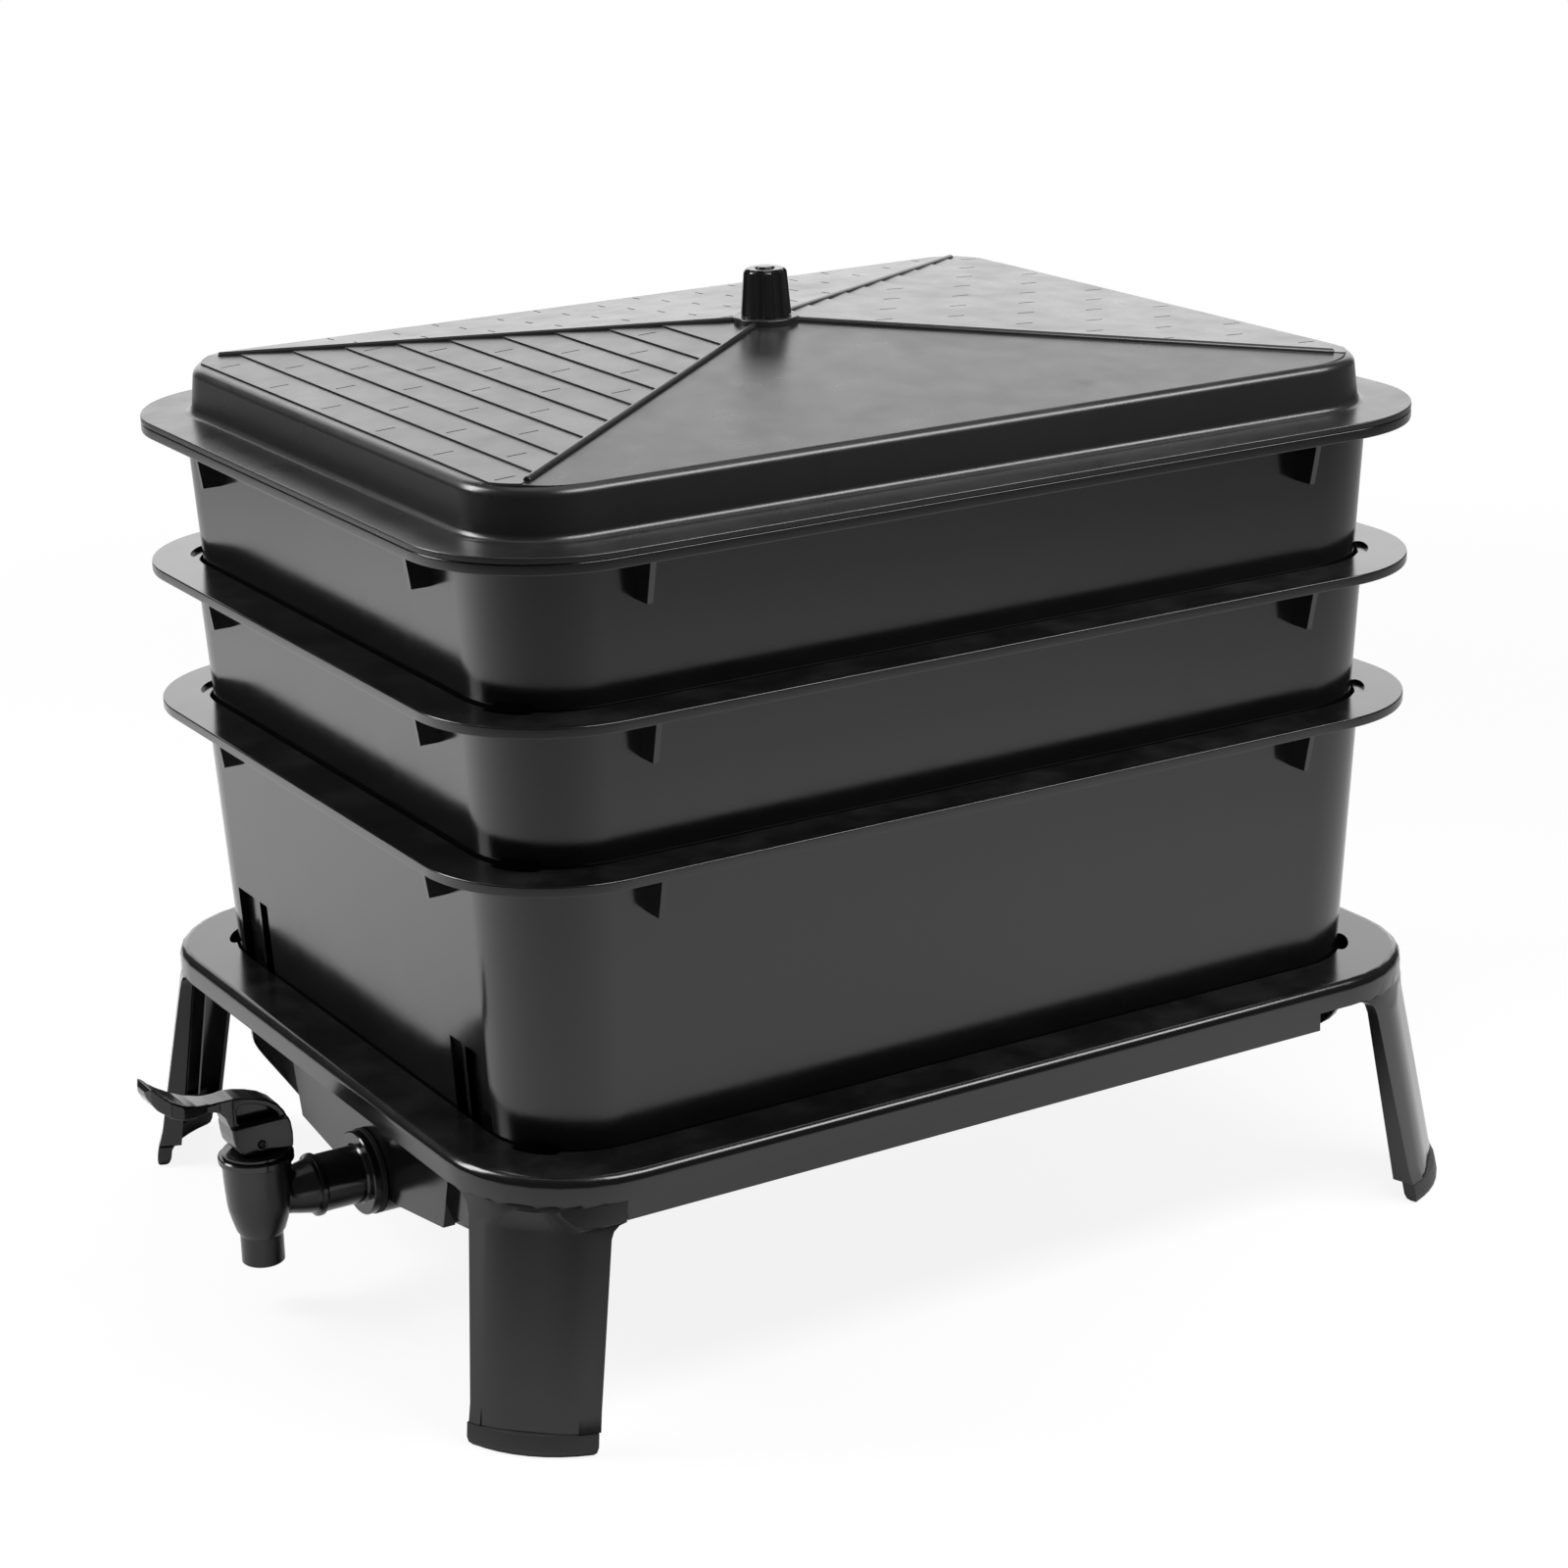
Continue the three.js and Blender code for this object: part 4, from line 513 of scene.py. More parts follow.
def recess_parts():
    """The recesses of the short walls as three lists of solids: linings, hollows and the ribs in them."""
    linings, hollows, ribs = [], [], []
    foot, roof = TUB_FLOOR / 2, RECESS_HEIGHT + TUB_WALL
    top, half_wall = RECESS_HEIGHT + TUB_WALL / 2, TUB_WALL / 2
    for turn in (0, math.pi):
        for side in (-1, 1):
            linings.append(upright_plate(turn, side * RECESS_PLACE, RECESS_WIDTH + 2 * TUB_WALL, [
                (wall_half(foot, 0) - TUB_WALL - RECESS_DEPTH, foot),
                (wall_half(foot, 0) - half_wall, foot),
                (wall_half(roof, 0) - half_wall, roof),
                (wall_half(roof, 0) - TUB_WALL - RECESS_DEPTH, roof),
            ]))
            hollows.append(upright_plate(turn, side * RECESS_PLACE, RECESS_WIDTH, [
                (wall_half(0, 0) - RECESS_DEPTH, -TUB_FLOOR),
                (wall_half(0, 0) + TUB_WALL, -TUB_FLOOR),
                (wall_half(RECESS_HEIGHT, 0) + TUB_WALL, RECESS_HEIGHT),
                (wall_half(RECESS_HEIGHT, 0) - RECESS_DEPTH, RECESS_HEIGHT),
            ]))
            ribs.append(upright_plate(turn, side * END_PLATES[0], PLATE_THICKNESS, [
                (wall_half(0, 0) - RECESS_DEPTH - half_wall, 0),
                (wall_half(0, 0) - RECESS_RIB_SINK, 0),
                (wall_half(RECESS_HEIGHT, 0) - RECESS_RIB_SINK, top),
                (wall_half(RECESS_HEIGHT, 0) - RECESS_DEPTH - half_wall, top),
            ]))
    return linings, hollows, ribs


def grip_notches(half, radius, low, high):
    """Round-ended cutters at the corners of an opening, for the fingers that lift the tray."""
    notches = []
    for side_x, side_y in CORNERS:
        let_go()
        out_x, out_y = side_x * math.cos(NOTCH_ANGLE), side_y * math.sin(NOTCH_ANGLE)
        bpy.ops.mesh.primitive_cylinder_add(vertices=NOTCH_STEPS, radius=1, depth=high - low)
        notch = bpy.context.object
        notch.scale = (*NOTCH_HALF, 1)
        notch.rotation_euler = (0, 0, math.atan2(out_y, out_x))
        notch.location = (
            side_x * (half[0] - radius) + radius * out_x,
            side_y * (half[1] - radius) + radius * out_y,
            (low + high) / 2,
        )
        bpy.ops.object.transform_apply(location=True, rotation=True, scale=True)
        notches.append(notch)
    return notches


def drain_holes():
    """Square cutters in a grid over the floor."""
    holes = []
    margins = [int(2 * (half - HOLE_MARGIN) / HOLE_PITCH) for half in TUB_FOOT_HALF]
    for column in range(margins[0] + 1):
        for row in range(margins[1] + 1):
            x = (column - margins[0] / 2) * HOLE_PITCH
            y = (row - margins[1] / 2) * HOLE_PITCH
            holes.append(block(
                "hole",
                (x - HOLE / 2, y - HOLE / 2, -TUB_FLOOR),
                (x + HOLE / 2, y + HOLE / 2, 2 * TUB_FLOOR),
            ))
    return holes


tray_plastic = moulded_plastic("tray_plastic", TRAY_SHADE, TRAY_ROUGHNESS, TRAY_GRAIN, TRAY_WAVE)
tray_middle = sum(corner.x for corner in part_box("top_tray")) / 2
tray = tray_moulding()
linings, hollows, recess_ribs = recess_parts()
merge_with(tray, linings)
merge_with(tray, hollows, "DIFFERENCE")
merge_with(tray, tray_plates() + recess_ribs)
mouth_half = [wall_half(TRAY_DEPTH, side) - TUB_WALL for side in (0, 1)]
notch_low = TRAY_DEPTH - FLANGE_THICKNESS + NOTCH_FLOOR
notches = grip_notches(mouth_half, MOUTH_RADIUS, notch_low, TRAY_DEPTH + CUT_OVERRUN)
merge_with(tray, drain_holes() + notches, "DIFFERENCE")
clear_slivers(tray)
shade(tray)
for level in ("bottom", "middle", "top"):
    copy = tray.copy()
    copy.data = tray.data.copy()
    copy.name = level + "_tray_moulding"
    bpy.context.collection.objects.link(copy)
    settle(copy, tray_middle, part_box(level + "_tray")[0].z)
    dress(copy, tray_plastic, "tray_plastic", level + "_tray", level + "_tray")
bpy.data.objects.remove(tray)

# The lid is a fine-grained black moulding: a flat brim, a raised platform with rounded edges, and a low
# hipped roof. Half-round ridges run to its corners. Both ends and the back are moulded as rows of planks,
# each row standing a little proud of the next one down, and the front is smooth.
LID_SHADE = (0.0090, 0.0090, 0.0095)
LID_ROUGHNESS = 0.28
LID_GRAIN = 0.02 * MM
LID_WAVE = 0.12 * MM
BRIM_THICKNESS = 2.8 * MM
BRIM_EDGE_REACH = 1 * MM
PLATFORM_INSET = 26 * MM
PLATFORM_HALF_Y = 194.5 * MM
PLATFORM_HEIGHT = 24 * MM
PLATFORM_DRAFT = 2 * MM
PLATFORM_ROUNDING = 4.5 * MM
PLATFORM_FILLET = 3.5 * MM
LID_WALL = 2.6 * MM
ROOF_RISE = 20 * MM
ROOF_HALF = (247.5 * MM, 188 * MM)
RIDGE_RADIUS = 2 * MM
RIDGE_SHARE = 0.93
RIDGE_STEPS = 24
BOSS_RADIUS = 17 * MM
BOSS_RISE = 2 * MM
BOSS_FOOT_SHARE = 0.5
BOSS_EDGE = 0.8 * MM
ROD_STEPS = 64
BORE_STEPS = 32
SCREW_HOLE = 2.75 * MM
PLANK_ROWS = 11
PLANK_PITCH = 22.2 * MM
PLANK_RISE = 0.75 * MM
PLANK_SINK = 1.2 * MM
JOINT_PITCH = 62 * MM
JOINT_STAGGER_SHARES = (0.65, 0.15)
JOINT_LENGTH_SHARE = 0.5
JOINT_CUT_SHARE = 0.8
JOINT_HEEL = 2 * MM
JOINT_MARGIN = 6 * MM
JOINT_WIDTH = 1.1 * MM
JOINT_DEPTH = 0.7 * MM
LID_RIM_HALF = (254.35 * MM, 195.95 * MM)
LID_RIM_RADIUS = 45 * MM
LID_RIM_DROP = 7 * MM
LID_RIM_WALL = 2.2 * MM
PANELS = (
    (0.0, ROOF_HALF[0], ROOF_HALF[1]),
    (math.pi, ROOF_HALF[0], ROOF_HALF[1]),
    (math.pi / 2, ROOF_HALF[1], ROOF_HALF[0]),
)


def lid_moulding():
    """The brim and the platform, drawn from a slab."""
    lid = rounded_slab("lid_moulding", FLANGE_HALF, 0, BRIM_THICKNESS, FLANGE_RADIUS)
    foot_half = FLANGE_HALF[0] - PLATFORM_INSET
    fit = PLATFORM_HALF_Y / (FLANGE_HALF[1] - PLATFORM_INSET)
    draft = [1 - PLATFORM_DRAFT / half for half in (foot_half, PLATFORM_HALF_Y)]
    pick(lid, "FACE", faces_at(BRIM_THICKNESS, 1))
    bpy.ops.mesh.inset(thickness=PLATFORM_INSET)
    bpy.ops.transform.resize(value=(1, fit, 1), center_override=(0, 0, 0))
    draw_out(PLATFORM_HEIGHT, draft)
    brim_top = level_edge(BRIM_THICKNESS)
    round_edges(lid, level_edge(BRIM_THICKNESS + PLATFORM_HEIGHT), PLATFORM_ROUNDING, 5)
    round_edges(
        lid, lambda edge: brim_top(edge) and flange_depth(edge) > PLATFORM_INSET / 2, PLATFORM_FILLET, 4)
    round_edges(lid, lambda edge: brim_top(edge) and flange_depth(edge) < BRIM_EDGE_REACH, TRAY_EDGE)
    let_go()
    return lid


def roof_level(share):
    """The roof's height at a share of the way from its middle to an edge."""
    return BRIM_THICKNESS + PLATFORM_HEIGHT + ROOF_RISE * (1 - share)


def roof_outline():
    """An upright prism through the roof's rounded outline, which trims what lies on it."""
    radius = FLANGE_RADIUS - PLATFORM_INSET - PLATFORM_DRAFT - PLATFORM_ROUNDING
    low, high = BRIM_THICKNESS + LID_WALL, roof_level(0) + CUT_OVERRUN
    outline = rounded_slab("outline", ROOF_HALF, low, high, radius)
    let_go()
    return outline


def hipped_roof():
    """Four flat panels that rise to the middle, on a block that sinks into the platform."""
    foot = BRIM_THICKNESS + PLATFORM_HEIGHT
    roof = block("roof", (-ROOF_HALF[0], -ROOF_HALF[1], foot - LID_WALL), (ROOF_HALF[0], ROOF_HALF[1], foot))
    pick(roof, "FACE", faces_at(foot, 1))
    bpy.ops.mesh.poke(offset=ROOF_RISE)
    let_go()
    merge_with(roof, [roof_outline()], "INTERSECT")
    return roof


def lid_hollow():
    """What is left open under the lid, one wall inside its skin."""
    half = (FLANGE_HALF[0] - PLATFORM_INSET - LID_WALL, PLATFORM_HALF_Y - LID_WALL)
    roof_foot = BRIM_THICKNESS + PLATFORM_HEIGHT - LID_WALL
    radius = FLANGE_RADIUS - PLATFORM_INSET - LID_WALL
    hollow = rounded_slab("hollow", half, -LID_RIM_DROP, 0, radius)
    pick(hollow, "FACE", faces_at(0, 1))
    draw_out(roof_foot, [1 - PLATFORM_DRAFT / size for size in half])
    round_edges(hollow, level_edge(roof_foot), PLATFORM_ROUNDING, 4)
    pick(hollow, "FACE", faces_at(roof_foot, 1))
    bpy.ops.mesh.poke(offset=ROOF_RISE)
    let_go()
    return hollow


def lid_rim():
    """The rim that drops inside the top tray's mouth, as a ring."""
    half, radius = LID_RIM_HALF, LID_RIM_RADIUS
    rim = rounded_slab("rim", half, -LID_RIM_DROP, BRIM_THICKNESS / 2, radius)
    for level, side in ((-LID_RIM_DROP, -1), (BRIM_THICKNESS / 2, 1)):
        pick(rim, "FACE", faces_at(level, side))
        bpy.ops.mesh.inset(thickness=LID_RIM_WALL)
    pick(rim, "FACE", lambda face: abs(face.normal.z) > LEVEL_SHARE
         and depth_in(face.calc_center_median(), half, radius) > 2 * LID_RIM_WALL)
    bpy.ops.mesh.bridge_edge_loops()
    let_go()
    return rim


def plank_panel(turn, reach, breadth):
    """The planks of one panel of the roof as a solid: a saw-toothed profile cut off along the hips."""
    pitch = PLANK_PITCH * reach / ROOF_HALF[0]
    top = []
    for row in range(1, PLANK_ROWS + 1):
        out = row * pitch
        level = roof_level(out / reach)
        if top:
            top.append((out, level + PLANK_RISE))
        top.append((out, level))
    outline = [*top, (top[-1][0], top[-1][1] - PLANK_SINK), (top[0][0], top[0][1] - PLANK_SINK)]
    panel = upright_plate(0, 0, 2 * breadth, outline)
    edit(panel)
    for side in (-1, 1):
        bpy.ops.mesh.select_all(action="SELECT")
        bpy.ops.mesh.bisect(
            plane_co=(0, 0, 0),
            plane_no=Vector((-breadth, side * reach, 0)).normalized(),
            use_fill=True,
            clear_outer=True,
        )
    let_go()
    panel.rotation_euler = (0, 0, turn)
    take(panel)
    bpy.ops.object.transform_apply(location=True, rotation=True, scale=True)
    return panel


def plank_joints(turn, reach, breadth):
    """Thin cutters where the ends of two planks meet, staggered from row to row."""
    joints = []
    pitch = PLANK_PITCH * reach / ROOF_HALF[0]
    for row in range(2, PLANK_ROWS):
        outer = (row + 1) * pitch
        inner = outer - pitch * JOINT_LENGTH_SHARE - JOINT_HEEL
        slope = math.atan2(ROOF_RISE / reach * pitch - PLANK_RISE, pitch)
        limit = inner * breadth / reach - JOINT_MARGIN
        offset = JOINT_PITCH * JOINT_STAGGER_SHARES[row % 2]
        count = int(limit / JOINT_PITCH) + 2
        for place in range(-count, count):
            y = place * JOINT_PITCH + offset
            if abs(y) > limit:
                continue
            length = (outer - inner) * JOINT_CUT_SHARE
            middle = (inner + outer) / 2 - JOINT_HEEL
            level = roof_level(middle / reach) + PLANK_RISE * (middle - row * pitch) / pitch
            let_go()
            bpy.ops.mesh.primitive_cube_add(size=1)
            joint = bpy.context.object
            joint.matrix_world = (
                Matrix.Rotation(turn, 4, "Z")
                @ Matrix.Translation((middle, y, level))
                @ Matrix.Rotation(slope, 4, "Y")
                @ Matrix.Diagonal((length, JOINT_WIDTH, 2 * JOINT_DEPTH, 1))
            )
            bpy.ops.object.transform_apply(location=True, rotation=True, scale=True)
            joints.append(joint)
    return joints


def ridges():
    """The half-round ridges along the hips, with rounded ends."""
    bars = []
    for side_x, side_y in CORNERS:
        start = Vector((0, 0, roof_level(0)))
        end = Vector((
            side_x * ROOF_HALF[0] * RIDGE_SHARE,
            side_y * ROOF_HALF[1] * RIDGE_SHARE,
            roof_level(RIDGE_SHARE),
        ))
        let_go()
        bpy.ops.mesh.primitive_cylinder_add(
            vertices=RIDGE_STEPS,
            radius=RIDGE_RADIUS,
            depth=(end - start).length,
            location=(start + end) / 2,
            rotation=(end - start).to_track_quat("Z", "Y").to_euler(),
        )
        bar = bpy.context.object
        bpy.ops.object.transform_apply(location=True, rotation=True, scale=True)
        edit(bar)
        pick(bar, "FACE", lambda face: len(face.verts) == RIDGE_STEPS)
        bpy.ops.mesh.bevel(offset=RIDGE_RADIUS / 2, segments=2, affect="EDGES")
        let_go()
        bars.append(bar)
    return bars


def upright_rod(name, radius, low, high, vertices=ROD_STEPS):
    """A rod about the vertical axis between two heights."""
    let_go()
    bpy.ops.mesh.primitive_cylinder_add(
        vertices=vertices, radius=radius, depth=high - low, location=(0, 0, (low + high) / 2))
    rod = bpy.context.object
    rod.name = name
    bpy.ops.object.transform_apply(location=True, rotation=True, scale=True)
    return rod


lid_plastic = moulded_plastic("lid_plastic", LID_SHADE, LID_ROUGHNESS, LID_GRAIN, LID_WAVE)
lid = lid_moulding()
merge_with(lid, [hipped_roof()])
for panel in PANELS:
    planks = plank_panel(*panel)
    merge_with(planks, [roof_outline()], "INTERSECT")
    merge_with(lid, [planks])
merge_with(lid, [joint for panel in PANELS for joint in plank_joints(*panel)], "DIFFERENCE")
boss = upright_rod("boss", BOSS_RADIUS, roof_level(BOSS_FOOT_SHARE), roof_level(0) + BOSS_RISE)
edit(boss)
round_edges(boss, level_edge(roof_level(0) + BOSS_RISE), BOSS_EDGE)
let_go()
for bar in ridges():
    merge_with(lid, [bar])
merge_with(lid, [boss])
merge_with(lid, [lid_hollow()], "DIFFERENCE")
merge_with(lid, [lid_rim()])
screw_hole = upright_rod("screw_hole", SCREW_HOLE, 0, roof_level(0) + CUT_OVERRUN, BORE_STEPS)
merge_with(lid, [screw_hole], "DIFFERENCE")
clear_slivers(lid)
shade(lid)
settle(lid, tray_middle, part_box("lid")[0].z + LID_RIM_DROP)
dress(lid, lid_plastic, "lid_plastic", "lid", "lid")

# The knob is a glossy black moulding with eight flutes, drawn down on the roof's boss by a screw from below,
# and its top is closed by a small push-in cap.
KNOB_SHADE = (0.0060, 0.0060, 0.0062)
KNOB_ROUGHNESS = 0.2
KNOB_GRAIN = 0.004 * MM
KNOB_WAVE = 0.05 * MM
KNOB_RADIUS = 13 * MM
KNOB_TOP_RADIUS = 11 * MM
KNOB_HEIGHT = 24 * MM
KNOB_STEPS = 96
KNOB_TOP_ROUNDING = 2.2 * MM
KNOB_FOOT_ROUNDING = 0.5 * MM
KNOB_FLUTES = 8
FLUTE_RADIUS = 3.6 * MM
FLUTE_DEPTH = 1.7 * MM
FLUTE_EDGE = 0.35 * MM
FLUTE_EDGE_ANGLE = math.radians(30)
KNOB_WELL = (5.35 * MM, 3 * MM)
KNOB_THREAD = (2.75 * MM, 14.35 * MM)
CAP_RADIUS = 5 * MM
CAP_HEIGHT = 3.7 * MM
CAP_ROUNDING = 0.9 * MM

knob_plastic = moulded_plastic("knob_plastic", KNOB_SHADE, KNOB_ROUGHNESS, KNOB_GRAIN, KNOB_WAVE)
knob_middle = sum(corner.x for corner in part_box("lid_knob")) / 2
knob = upright_rod("fluted_knob", KNOB_RADIUS, 0, KNOB_HEIGHT, KNOB_STEPS)
edit(knob)
pick(knob, "FACE", faces_at(KNOB_HEIGHT, 1))
bpy.ops.transform.resize(value=(*[KNOB_TOP_RADIUS / KNOB_RADIUS] * 2, 1), center_override=(0, 0, 0))
round_edges(knob, level_edge(KNOB_HEIGHT), KNOB_TOP_ROUNDING, 4)
round_edges(knob, level_edge(0), KNOB_FOOT_ROUNDING, 2)
lean = math.atan2(KNOB_RADIUS - KNOB_TOP_RADIUS, KNOB_HEIGHT)
for flute in range(KNOB_FLUTES):
    turn = 2 * math.pi * flute / KNOB_FLUTES
    cutter = upright_rod("flute", FLUTE_RADIUS, -KNOB_HEIGHT, 2 * KNOB_HEIGHT, BORE_STEPS)
    cutter.matrix_world = (
        Matrix.Rotation(turn, 4, "Z")
        @ Matrix.Translation((KNOB_RADIUS + FLUTE_RADIUS - FLUTE_DEPTH, 0, 0))
        @ Matrix.Rotation(-lean, 4, "Y")
    )
    bpy.ops.object.transform_apply(location=True, rotation=True, scale=True)
    merge_with(knob, [cutter], "DIFFERENCE")
round_off(knob, FLUTE_EDGE, FLUTE_EDGE_ANGLE)
well = upright_rod("well", KNOB_WELL[0], KNOB_HEIGHT - KNOB_WELL[1], 2 * KNOB_HEIGHT)
thread = upright_rod("thread", KNOB_THREAD[0], -KNOB_HEIGHT, KNOB_THREAD[1], BORE_STEPS)
for cutter in (well, thread):
    merge_with(knob, [cutter], "DIFFERENCE")
shade(knob)
settle(knob, knob_middle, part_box("lid_knob")[0].z)
dress(knob, knob_plastic, "knob_plastic", "lid", "lid_knob")

cap = upright_rod("knob_plug", CAP_RADIUS, 0, CAP_HEIGHT)
edit(cap)
round_edges(cap, level_edge(CAP_HEIGHT), CAP_ROUNDING)
shade(cap)
settle(cap, knob_middle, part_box("knob_cap")[0].z)
dress(cap, knob_plastic, "knob_plastic", "lid", "knob_cap")

# The tap is a spring-closed drinks dispenser in glossy black plastic: a turned body with a spout, an inlet
# stem clamped through the basin's end wall between two washers, a bonnet, and a lever on top. Its outlines
# are radii and heights in millimetres.
TAP_SHADE = (0.0055, 0.0055, 0.0058)
TAP_ROUGHNESS = 0.16
TAP_GRAIN = 0.004 * MM
TAP_WAVE = 0.06 * MM
TAP_AXIS = 58.5 * MM
TAP_GAP = 0.3 * MM
TAP_OVERRUN = 2 * MM
TURN_STEPS = 72
TURN_REACH = 0.001 * MM
BODY_OUTLINE = (
    (0, 24.5), (10.4, 24.5), (11, 25.1), (11, 39.6), (11.4, 41), (12.6, 42.6), (14.3, 48), (15.6, 53),
    (16.3, 57), (17.1, 68), (17.6, 79), (18, 80), (18.8, 80.1), (19.2, 80.5), (19.2, 83.4), (18.6, 84),
    (0, 84),
)
INLET_OUTLINE = (
    (0, 0), (11.4, 0), (11.4, 15), (12.4, 19), (14.2, 27.4), (15.4, 28.2), (16.2, 28.6), (16.4, 29.2),
    (16.4, 30.8), (16.1, 31.5), (15.2, 32), (15, 33),
)
BONNET_OUTLINE = (
    (10, -8), (12.65, -8), (12.65, 0), (16.7, 0), (17, 0.3), (17, 1.3), (16.8, 1.8), (16.3, 2), (2.75, 2),
    (2.75, -1), (10, -1), (10, -8),
)
SPOUT_BOTTOM = BODY_OUTLINE[0][1] * MM
TAP_TOP = BODY_OUTLINE[-1][1] * MM
NECK_RADIUS = 15 * MM
NECK_FILLET = 1 * MM
TAP_FLANGE_RADIUS = 22 * MM
TAP_FLANGE_THICKNESS = 4 * MM
TAP_FLANGE_EDGE = 0.6 * MM
SPIGOT_RADIUS = 11.5 * MM
SPIGOT_CHAMFER = 1 * MM
CHAMBER = (13 * MM, 50 * MM)
OUTLET_RADIUS = 8.8 * MM
SEAT_RADIUS = 6.5 * MM
SEAT_CONE = (39.8 * MM, 42 * MM)
SEAT_TOP = 52 * MM
WATERWAY_RADIUS = 8 * MM


def in_metres(outline, level=0):
    """An outline given in millimetres, with its heights counted from a level."""
    return [(radius * MM, level + height * MM) for radius, height in outline]


def turned(name, profile):
    """A solid turned about the vertical axis from (radius, height) points."""
    piece = wire_through(profile, 0)
    piece.name = name
    bpy.ops.mesh.spin(steps=TURN_STEPS, angle=2 * math.pi, center=(0, 0, 0), axis=(0, 0, 1))
    bpy.ops.mesh.select_all(action="SELECT")
    bpy.ops.mesh.remove_doubles(threshold=TURN_REACH)
    bpy.ops.mesh.normals_make_consistent(inside=False)
    let_go()
    return piece


def lay_along_x(piece):
    """Turns an upright piece so that its height runs along X, at the height of the tap's axis."""
    take(piece)
    piece.rotation_euler = (0, math.pi / 2, 0)
    piece.location = (0, 0, TAP_AXIS)
    bpy.ops.object.transform_apply(location=True, rotation=True, scale=True)
    return piece


tap_plastic = moulded_plastic("tap_plastic", TAP_SHADE, TAP_ROUGHNESS, TAP_GRAIN, TAP_WAVE)
stem_x = sum(corner.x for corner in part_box("tap_bonnet")) / 2
flange_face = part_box("tap_outer_washer")[0].x - stem_x - TAP_GAP
flange_back = flange_face - TAP_FLANGE_THICKNESS
spigot_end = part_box("tap_body")[1].x - stem_x
tap_body = turned("tap_moulding", in_metres(BODY_OUTLINE))
inlet = lay_along_x(turned("inlet", [
    *in_metres(INLET_OUTLINE),
    (NECK_RADIUS, flange_back - NECK_FILLET),
    (NECK_RADIUS + NECK_FILLET, flange_back),
    (TAP_FLANGE_RADIUS - TAP_FLANGE_EDGE, flange_back),
    (TAP_FLANGE_RADIUS, flange_back + TAP_FLANGE_EDGE),
    (TAP_FLANGE_RADIUS, flange_face),
    (SPIGOT_RADIUS, flange_face),
    (SPIGOT_RADIUS, spigot_end - SPIGOT_CHAMFER),
    (SPIGOT_RADIUS - SPIGOT_CHAMFER, spigot_end),
    (0, spigot_end),
]))
merge_with(tap_body, [inlet])
chamber = upright_rod("chamber", CHAMBER[0], CHAMBER[1], TAP_TOP + CUT_OVERRUN)
outlet = turned("outlet", [
    (0, SPOUT_BOTTOM - TAP_OVERRUN),
    (OUTLET_RADIUS, SPOUT_BOTTOM - TAP_OVERRUN),
    (OUTLET_RADIUS, SEAT_CONE[0]),
    (SEAT_RADIUS, SEAT_CONE[1]),
    (SEAT_RADIUS, SEAT_TOP),
    (0, SEAT_TOP),
])
waterway = lay_along_x(upright_rod("waterway", WATERWAY_RADIUS, 0, spigot_end + TAP_OVERRUN))
for cutter in (chamber, outlet, waterway):
    merge_with(tap_body, [cutter], "DIFFERENCE")
shade(tap_body)
settle(tap_body, stem_x, 0)
dress(tap_body, tap_plastic, "tap_plastic", "base", "tap_body")

bonnet = turned("tap_bonnet_moulding", in_metres(BONNET_OUTLINE, TAP_TOP + TAP_GAP))
shade(bonnet)
settle(bonnet, stem_x, 0)
dress(bonnet, tap_plastic, "tap_plastic", "base", "tap_bonnet")

# The lever is one moulding in the tap's plastic: a yoke with two cheeks that rock on the bonnet's edge, a
# strap that rises from the back over a thin web, and a spoon-shaped paddle for the thumb. Its edges are
# well rounded, and a pin holds it to the stem.
LEVER_VOXEL = 0.42 * MM
LEVER_SMOOTHING_SHARE = 0.5
LEVER_SMOOTHING_PASSES = 7

lever = cast_of("tap_lever", "tap_lever_moulding")
take(lever)
skin = lever.modifiers.new("skin", "REMESH")
skin.mode = "VOXEL"
skin.voxel_size = LEVER_VOXEL
bpy.ops.object.modifier_apply(modifier=skin.name)
flow = lever.modifiers.new("flow", "SMOOTH")
flow.factor = LEVER_SMOOTHING_SHARE
flow.iterations = LEVER_SMOOTHING_PASSES
bpy.ops.object.modifier_apply(modifier=flow.name)
bpy.ops.object.shade_smooth()
dress(lever, tap_plastic, "tap_plastic", "lever", "tap_lever")

# The washers, seal and stem of the tap keep the forms that they have in the solids. The washers and the seal
# are matt rubber, the stem and the lock nut are moulded as the tap is.
RUBBER_SHADE = (0.0095, 0.0095, 0.0095)
RUBBER_ROUGHNESS = 0.7
RUBBER_GRAIN = 0.03 * MM
RUBBER_WAVE = 0.05 * MM
RUBBER_EDGE = 0.5 * MM
STEM_EDGE = 0.3 * MM

rubber = moulded_plastic("washer_rubber", RUBBER_SHADE, RUBBER_ROUGHNESS, RUBBER_GRAIN, RUBBER_WAVE)
for node, body in (("tap_outer_washer", "base"), ("tap_inner_washer", "base"), ("tap_seal", "stem")):
    part = cast_of(node, node + "_rubber")
    round_off(part, RUBBER_EDGE)
    shade(part)
    dress(part, rubber, "seal_rubber", body, node)
for node, body in (("tap_stem", "stem"), ("tap_lock_nut", "base")):
    part = cast_of(node, node + "_moulding")
    round_off(part, STEM_EDGE)
    shade(part)
    dress(part, tap_plastic, "tap_plastic", body, node)

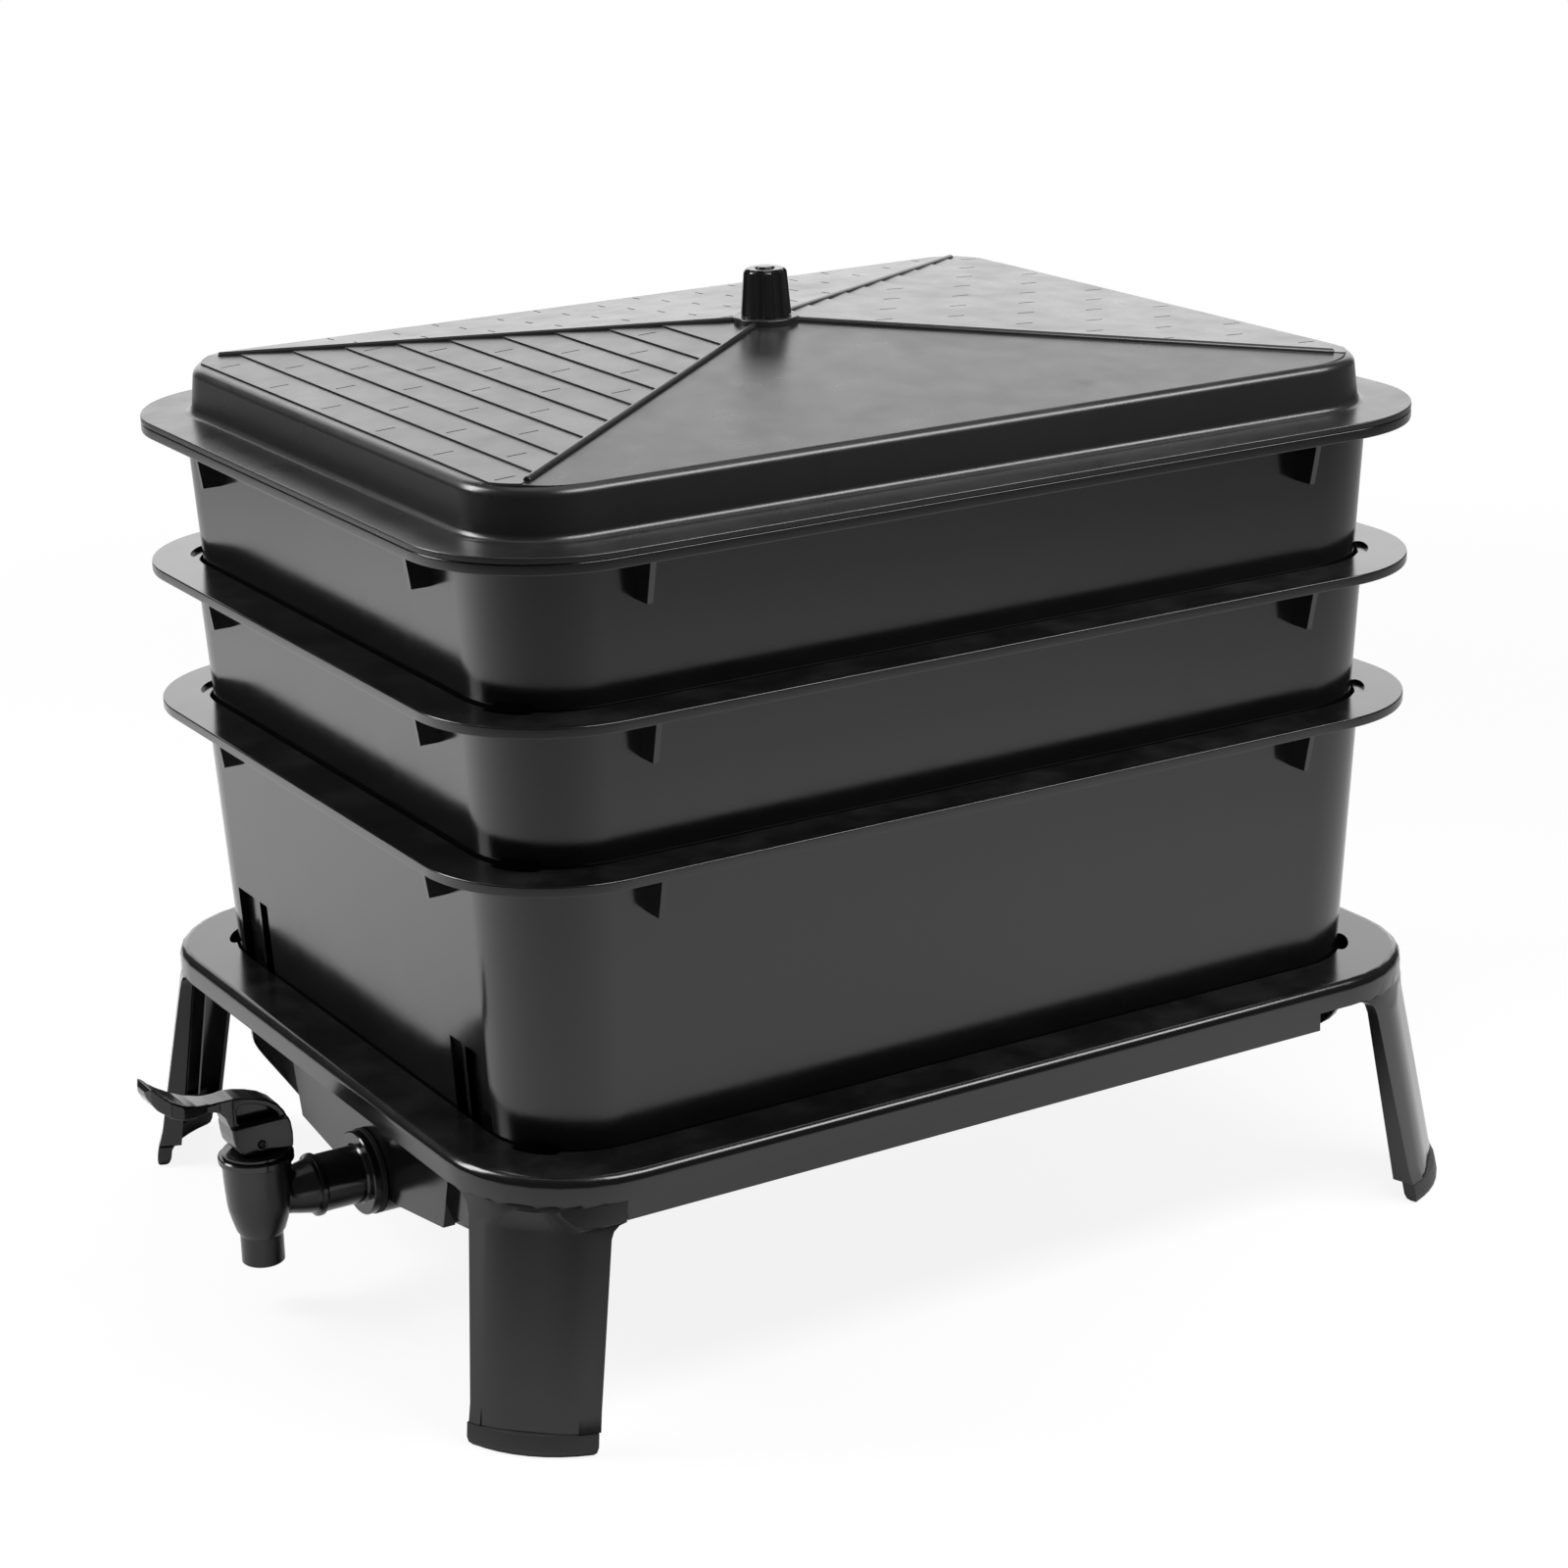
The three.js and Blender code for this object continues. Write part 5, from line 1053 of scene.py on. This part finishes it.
# The spring, the knob's screw and the lever's pin are drawn or turned steel. The spring and the screw are
# bright stainless steel, and the pin, which is pressed through the lever's cheeks, is blackened.
BRIGHT_SHADES = ((0.42, 0.43, 0.44, 1.0), (0.60, 0.61, 0.62, 1.0))
BRIGHT_ROUGHNESS = 0.22
BLACK_SHADES = ((0.018, 0.018, 0.019, 1.0), (0.035, 0.035, 0.036, 1.0))
BLACK_ROUGHNESS = 0.34
DRAW_LINES_A_METRE = 900.0
DRAW_STRETCH = (1, 1, 0.05)
DRAW_ROUGHNESS = 0.12
DRAW_DEPTH = 0.004 * MM


def drawn_steel(name, shades, roughness):
    """Steel with the fine lines that drawing or turning leaves."""
    finish = Finish(name)
    lines = finish.noise(DRAW_LINES_A_METRE, stretch=DRAW_STRETCH)
    finish.surface(Base_Color=finish.blend(lines, *shades), Roughness=roughness + lines * DRAW_ROUGHNESS)
    finish.shader.inputs["Metallic"].default_value = 1.0
    finish.relief(lines * DRAW_DEPTH)
    return finish.material


bright_steel = drawn_steel("bright_steel", BRIGHT_SHADES, BRIGHT_ROUGHNESS)
black_steel = drawn_steel("blackened_steel", BLACK_SHADES, BLACK_ROUGHNESS)
for node, steel in (("tap_spring", bright_steel), ("knob_screw", bright_steel), ("lever_pin", black_steel)):
    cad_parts[node].data.materials.clear()
    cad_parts[node].data.materials.append(steel)

# A plain white floor that keeps a faint shadow, in a white room. A low wide softbox behind the object gives
# the lid its sheen, one lights it from above, and two over the floor make the light that its walls throw
# back. Each softbox has a place, a target and a size in metres, and a power in watts.
FLOOR_SIZE = 14.0
FLOOR_COLOUR = (0.9, 0.9, 0.9, 1.0)
FLOOR_ROUGHNESS = 0.7
FLOOR_WHITE_SHARE = 0.88
SHADOW_REACH = (0.7, 1.9)
ROOM_LIGHT = 0.10
WHITE = (1.0, 1.0, 1.0, 1.0)
SOFTBOXES = (
    ("back_softbox", (1.9, 3.3, 1.3), (0.0, 0.0, 0.4), (5.0, 2.6), 76),
    ("overhead_softbox", (0.2, 0.2, 2.2), (0.0, 0.0, 0.2), (1.6, 1.6), 7),
    ("front_softbox", (0.35, -0.55, 0.95), (0.35, -0.5, 0.0), (1.0, 0.3), 12),
    ("side_softbox", (-1.05, 0.7, 1.1), (-0.85, 0.6, 0.0), (0.5, 1.0), 24),
)


def white_where_seen(tree, shader, kind, output, share=None):
    """Mixes a share of plain white into what the camera sees, and leaves the light on the rest alone."""
    path = tree.nodes.new("ShaderNodeLightPath")
    amount = tree.nodes.new("ShaderNodeMath")
    amount.operation = "MULTIPLY"
    amount.inputs[1].default_value = 1.0
    if share:
        tree.links.new(share.socket, amount.inputs[1])
    white = tree.nodes.new(kind)
    white.inputs["Color"].default_value = WHITE
    white.inputs["Strength"].default_value = 1.0
    mix = tree.nodes.new("ShaderNodeMixShader")
    tree.links.new(path.outputs["Is Camera Ray"], amount.inputs[0])
    tree.links.new(amount.outputs[0], mix.inputs[0])
    tree.links.new(shader.outputs[0], mix.inputs[1])
    tree.links.new(white.outputs[0], mix.inputs[2])
    tree.links.new(mix.outputs[0], tree.nodes[output].inputs["Surface"])


def softbox(name, place, target, size, power):
    """A flat lamp that faces its target."""
    light = bpy.data.lights.new(name, "AREA")
    light.shape = "RECTANGLE"
    light.size, light.size_y = size
    light.energy = power
    holder = bpy.data.objects.new(name, light)
    bpy.context.collection.objects.link(holder)
    holder.location = place
    holder.rotation_mode = "QUATERNION"
    holder.rotation_quaternion = (Vector(target) - Vector(place)).to_track_quat("-Z", "Y")


let_go()
bpy.ops.mesh.primitive_plane_add(size=FLOOR_SIZE)
floor = bpy.context.object
floor.name = "studio_floor"
floor_finish = Finish("floor_white")
floor_finish.surface(Base_Color=FLOOR_COLOUR, Roughness=FLOOR_ROUGHNESS)
distance = floor_finish.node(
    "ShaderNodeVectorMath", {"operation": "LENGTH"}, {0: floor_finish.place}, output=1)
white_share = FLOOR_WHITE_SHARE + floor_finish.between(distance, *SHADOW_REACH) * (1 - FLOOR_WHITE_SHARE)
white_where_seen(
    floor_finish.tree, floor_finish.shader, "ShaderNodeEmission", "Material Output", white_share)
floor.data.materials.append(floor_finish.material)

world = bpy.data.worlds.new("studio")
bpy.context.scene.world = world
world.use_nodes = True
room = world.node_tree.nodes["Background"]
room.inputs["Color"].default_value = WHITE
room.inputs["Strength"].default_value = ROOM_LIGHT
white_where_seen(world.node_tree, room, "ShaderNodeBackground", "World Output")

for lamp in SOFTBOXES:
    softbox(*lamp)

# The camera stands where the photographer stood, a little above the lid and turned to the tap's corner. Its
# place and directions come from the straight edges in the photograph.
CAMERA_PLACE = Vector((-0.9492, -1.5987, 0.8302))
CAMERA_RIGHT = Vector((0.8546, -0.5186, -0.0244))
CAMERA_UP = Vector((0.1817, 0.2547, 0.9498))
CAMERA_FOCAL_SHARE = 3732.93 / 1600
SENSOR_WIDTH = 36

view_camera = bpy.data.cameras.new("view")
view_camera.sensor_width = SENSOR_WIDTH
view_camera.lens = SENSOR_WIDTH * CAMERA_FOCAL_SHARE
camera = bpy.data.objects.new("view", view_camera)
bpy.context.collection.objects.link(camera)
right = CAMERA_RIGHT.normalized()
back = right.cross(CAMERA_UP).normalized()
up = back.cross(right)
turned_to = Matrix((right, up, back)).transposed().to_4x4()
camera.matrix_world = Matrix.Translation(CAMERA_PLACE + Vector((tray_middle, 0, 0))) @ turned_to
bpy.context.scene.camera = camera
bpy.context.scene.view_settings.view_transform = "Standard"
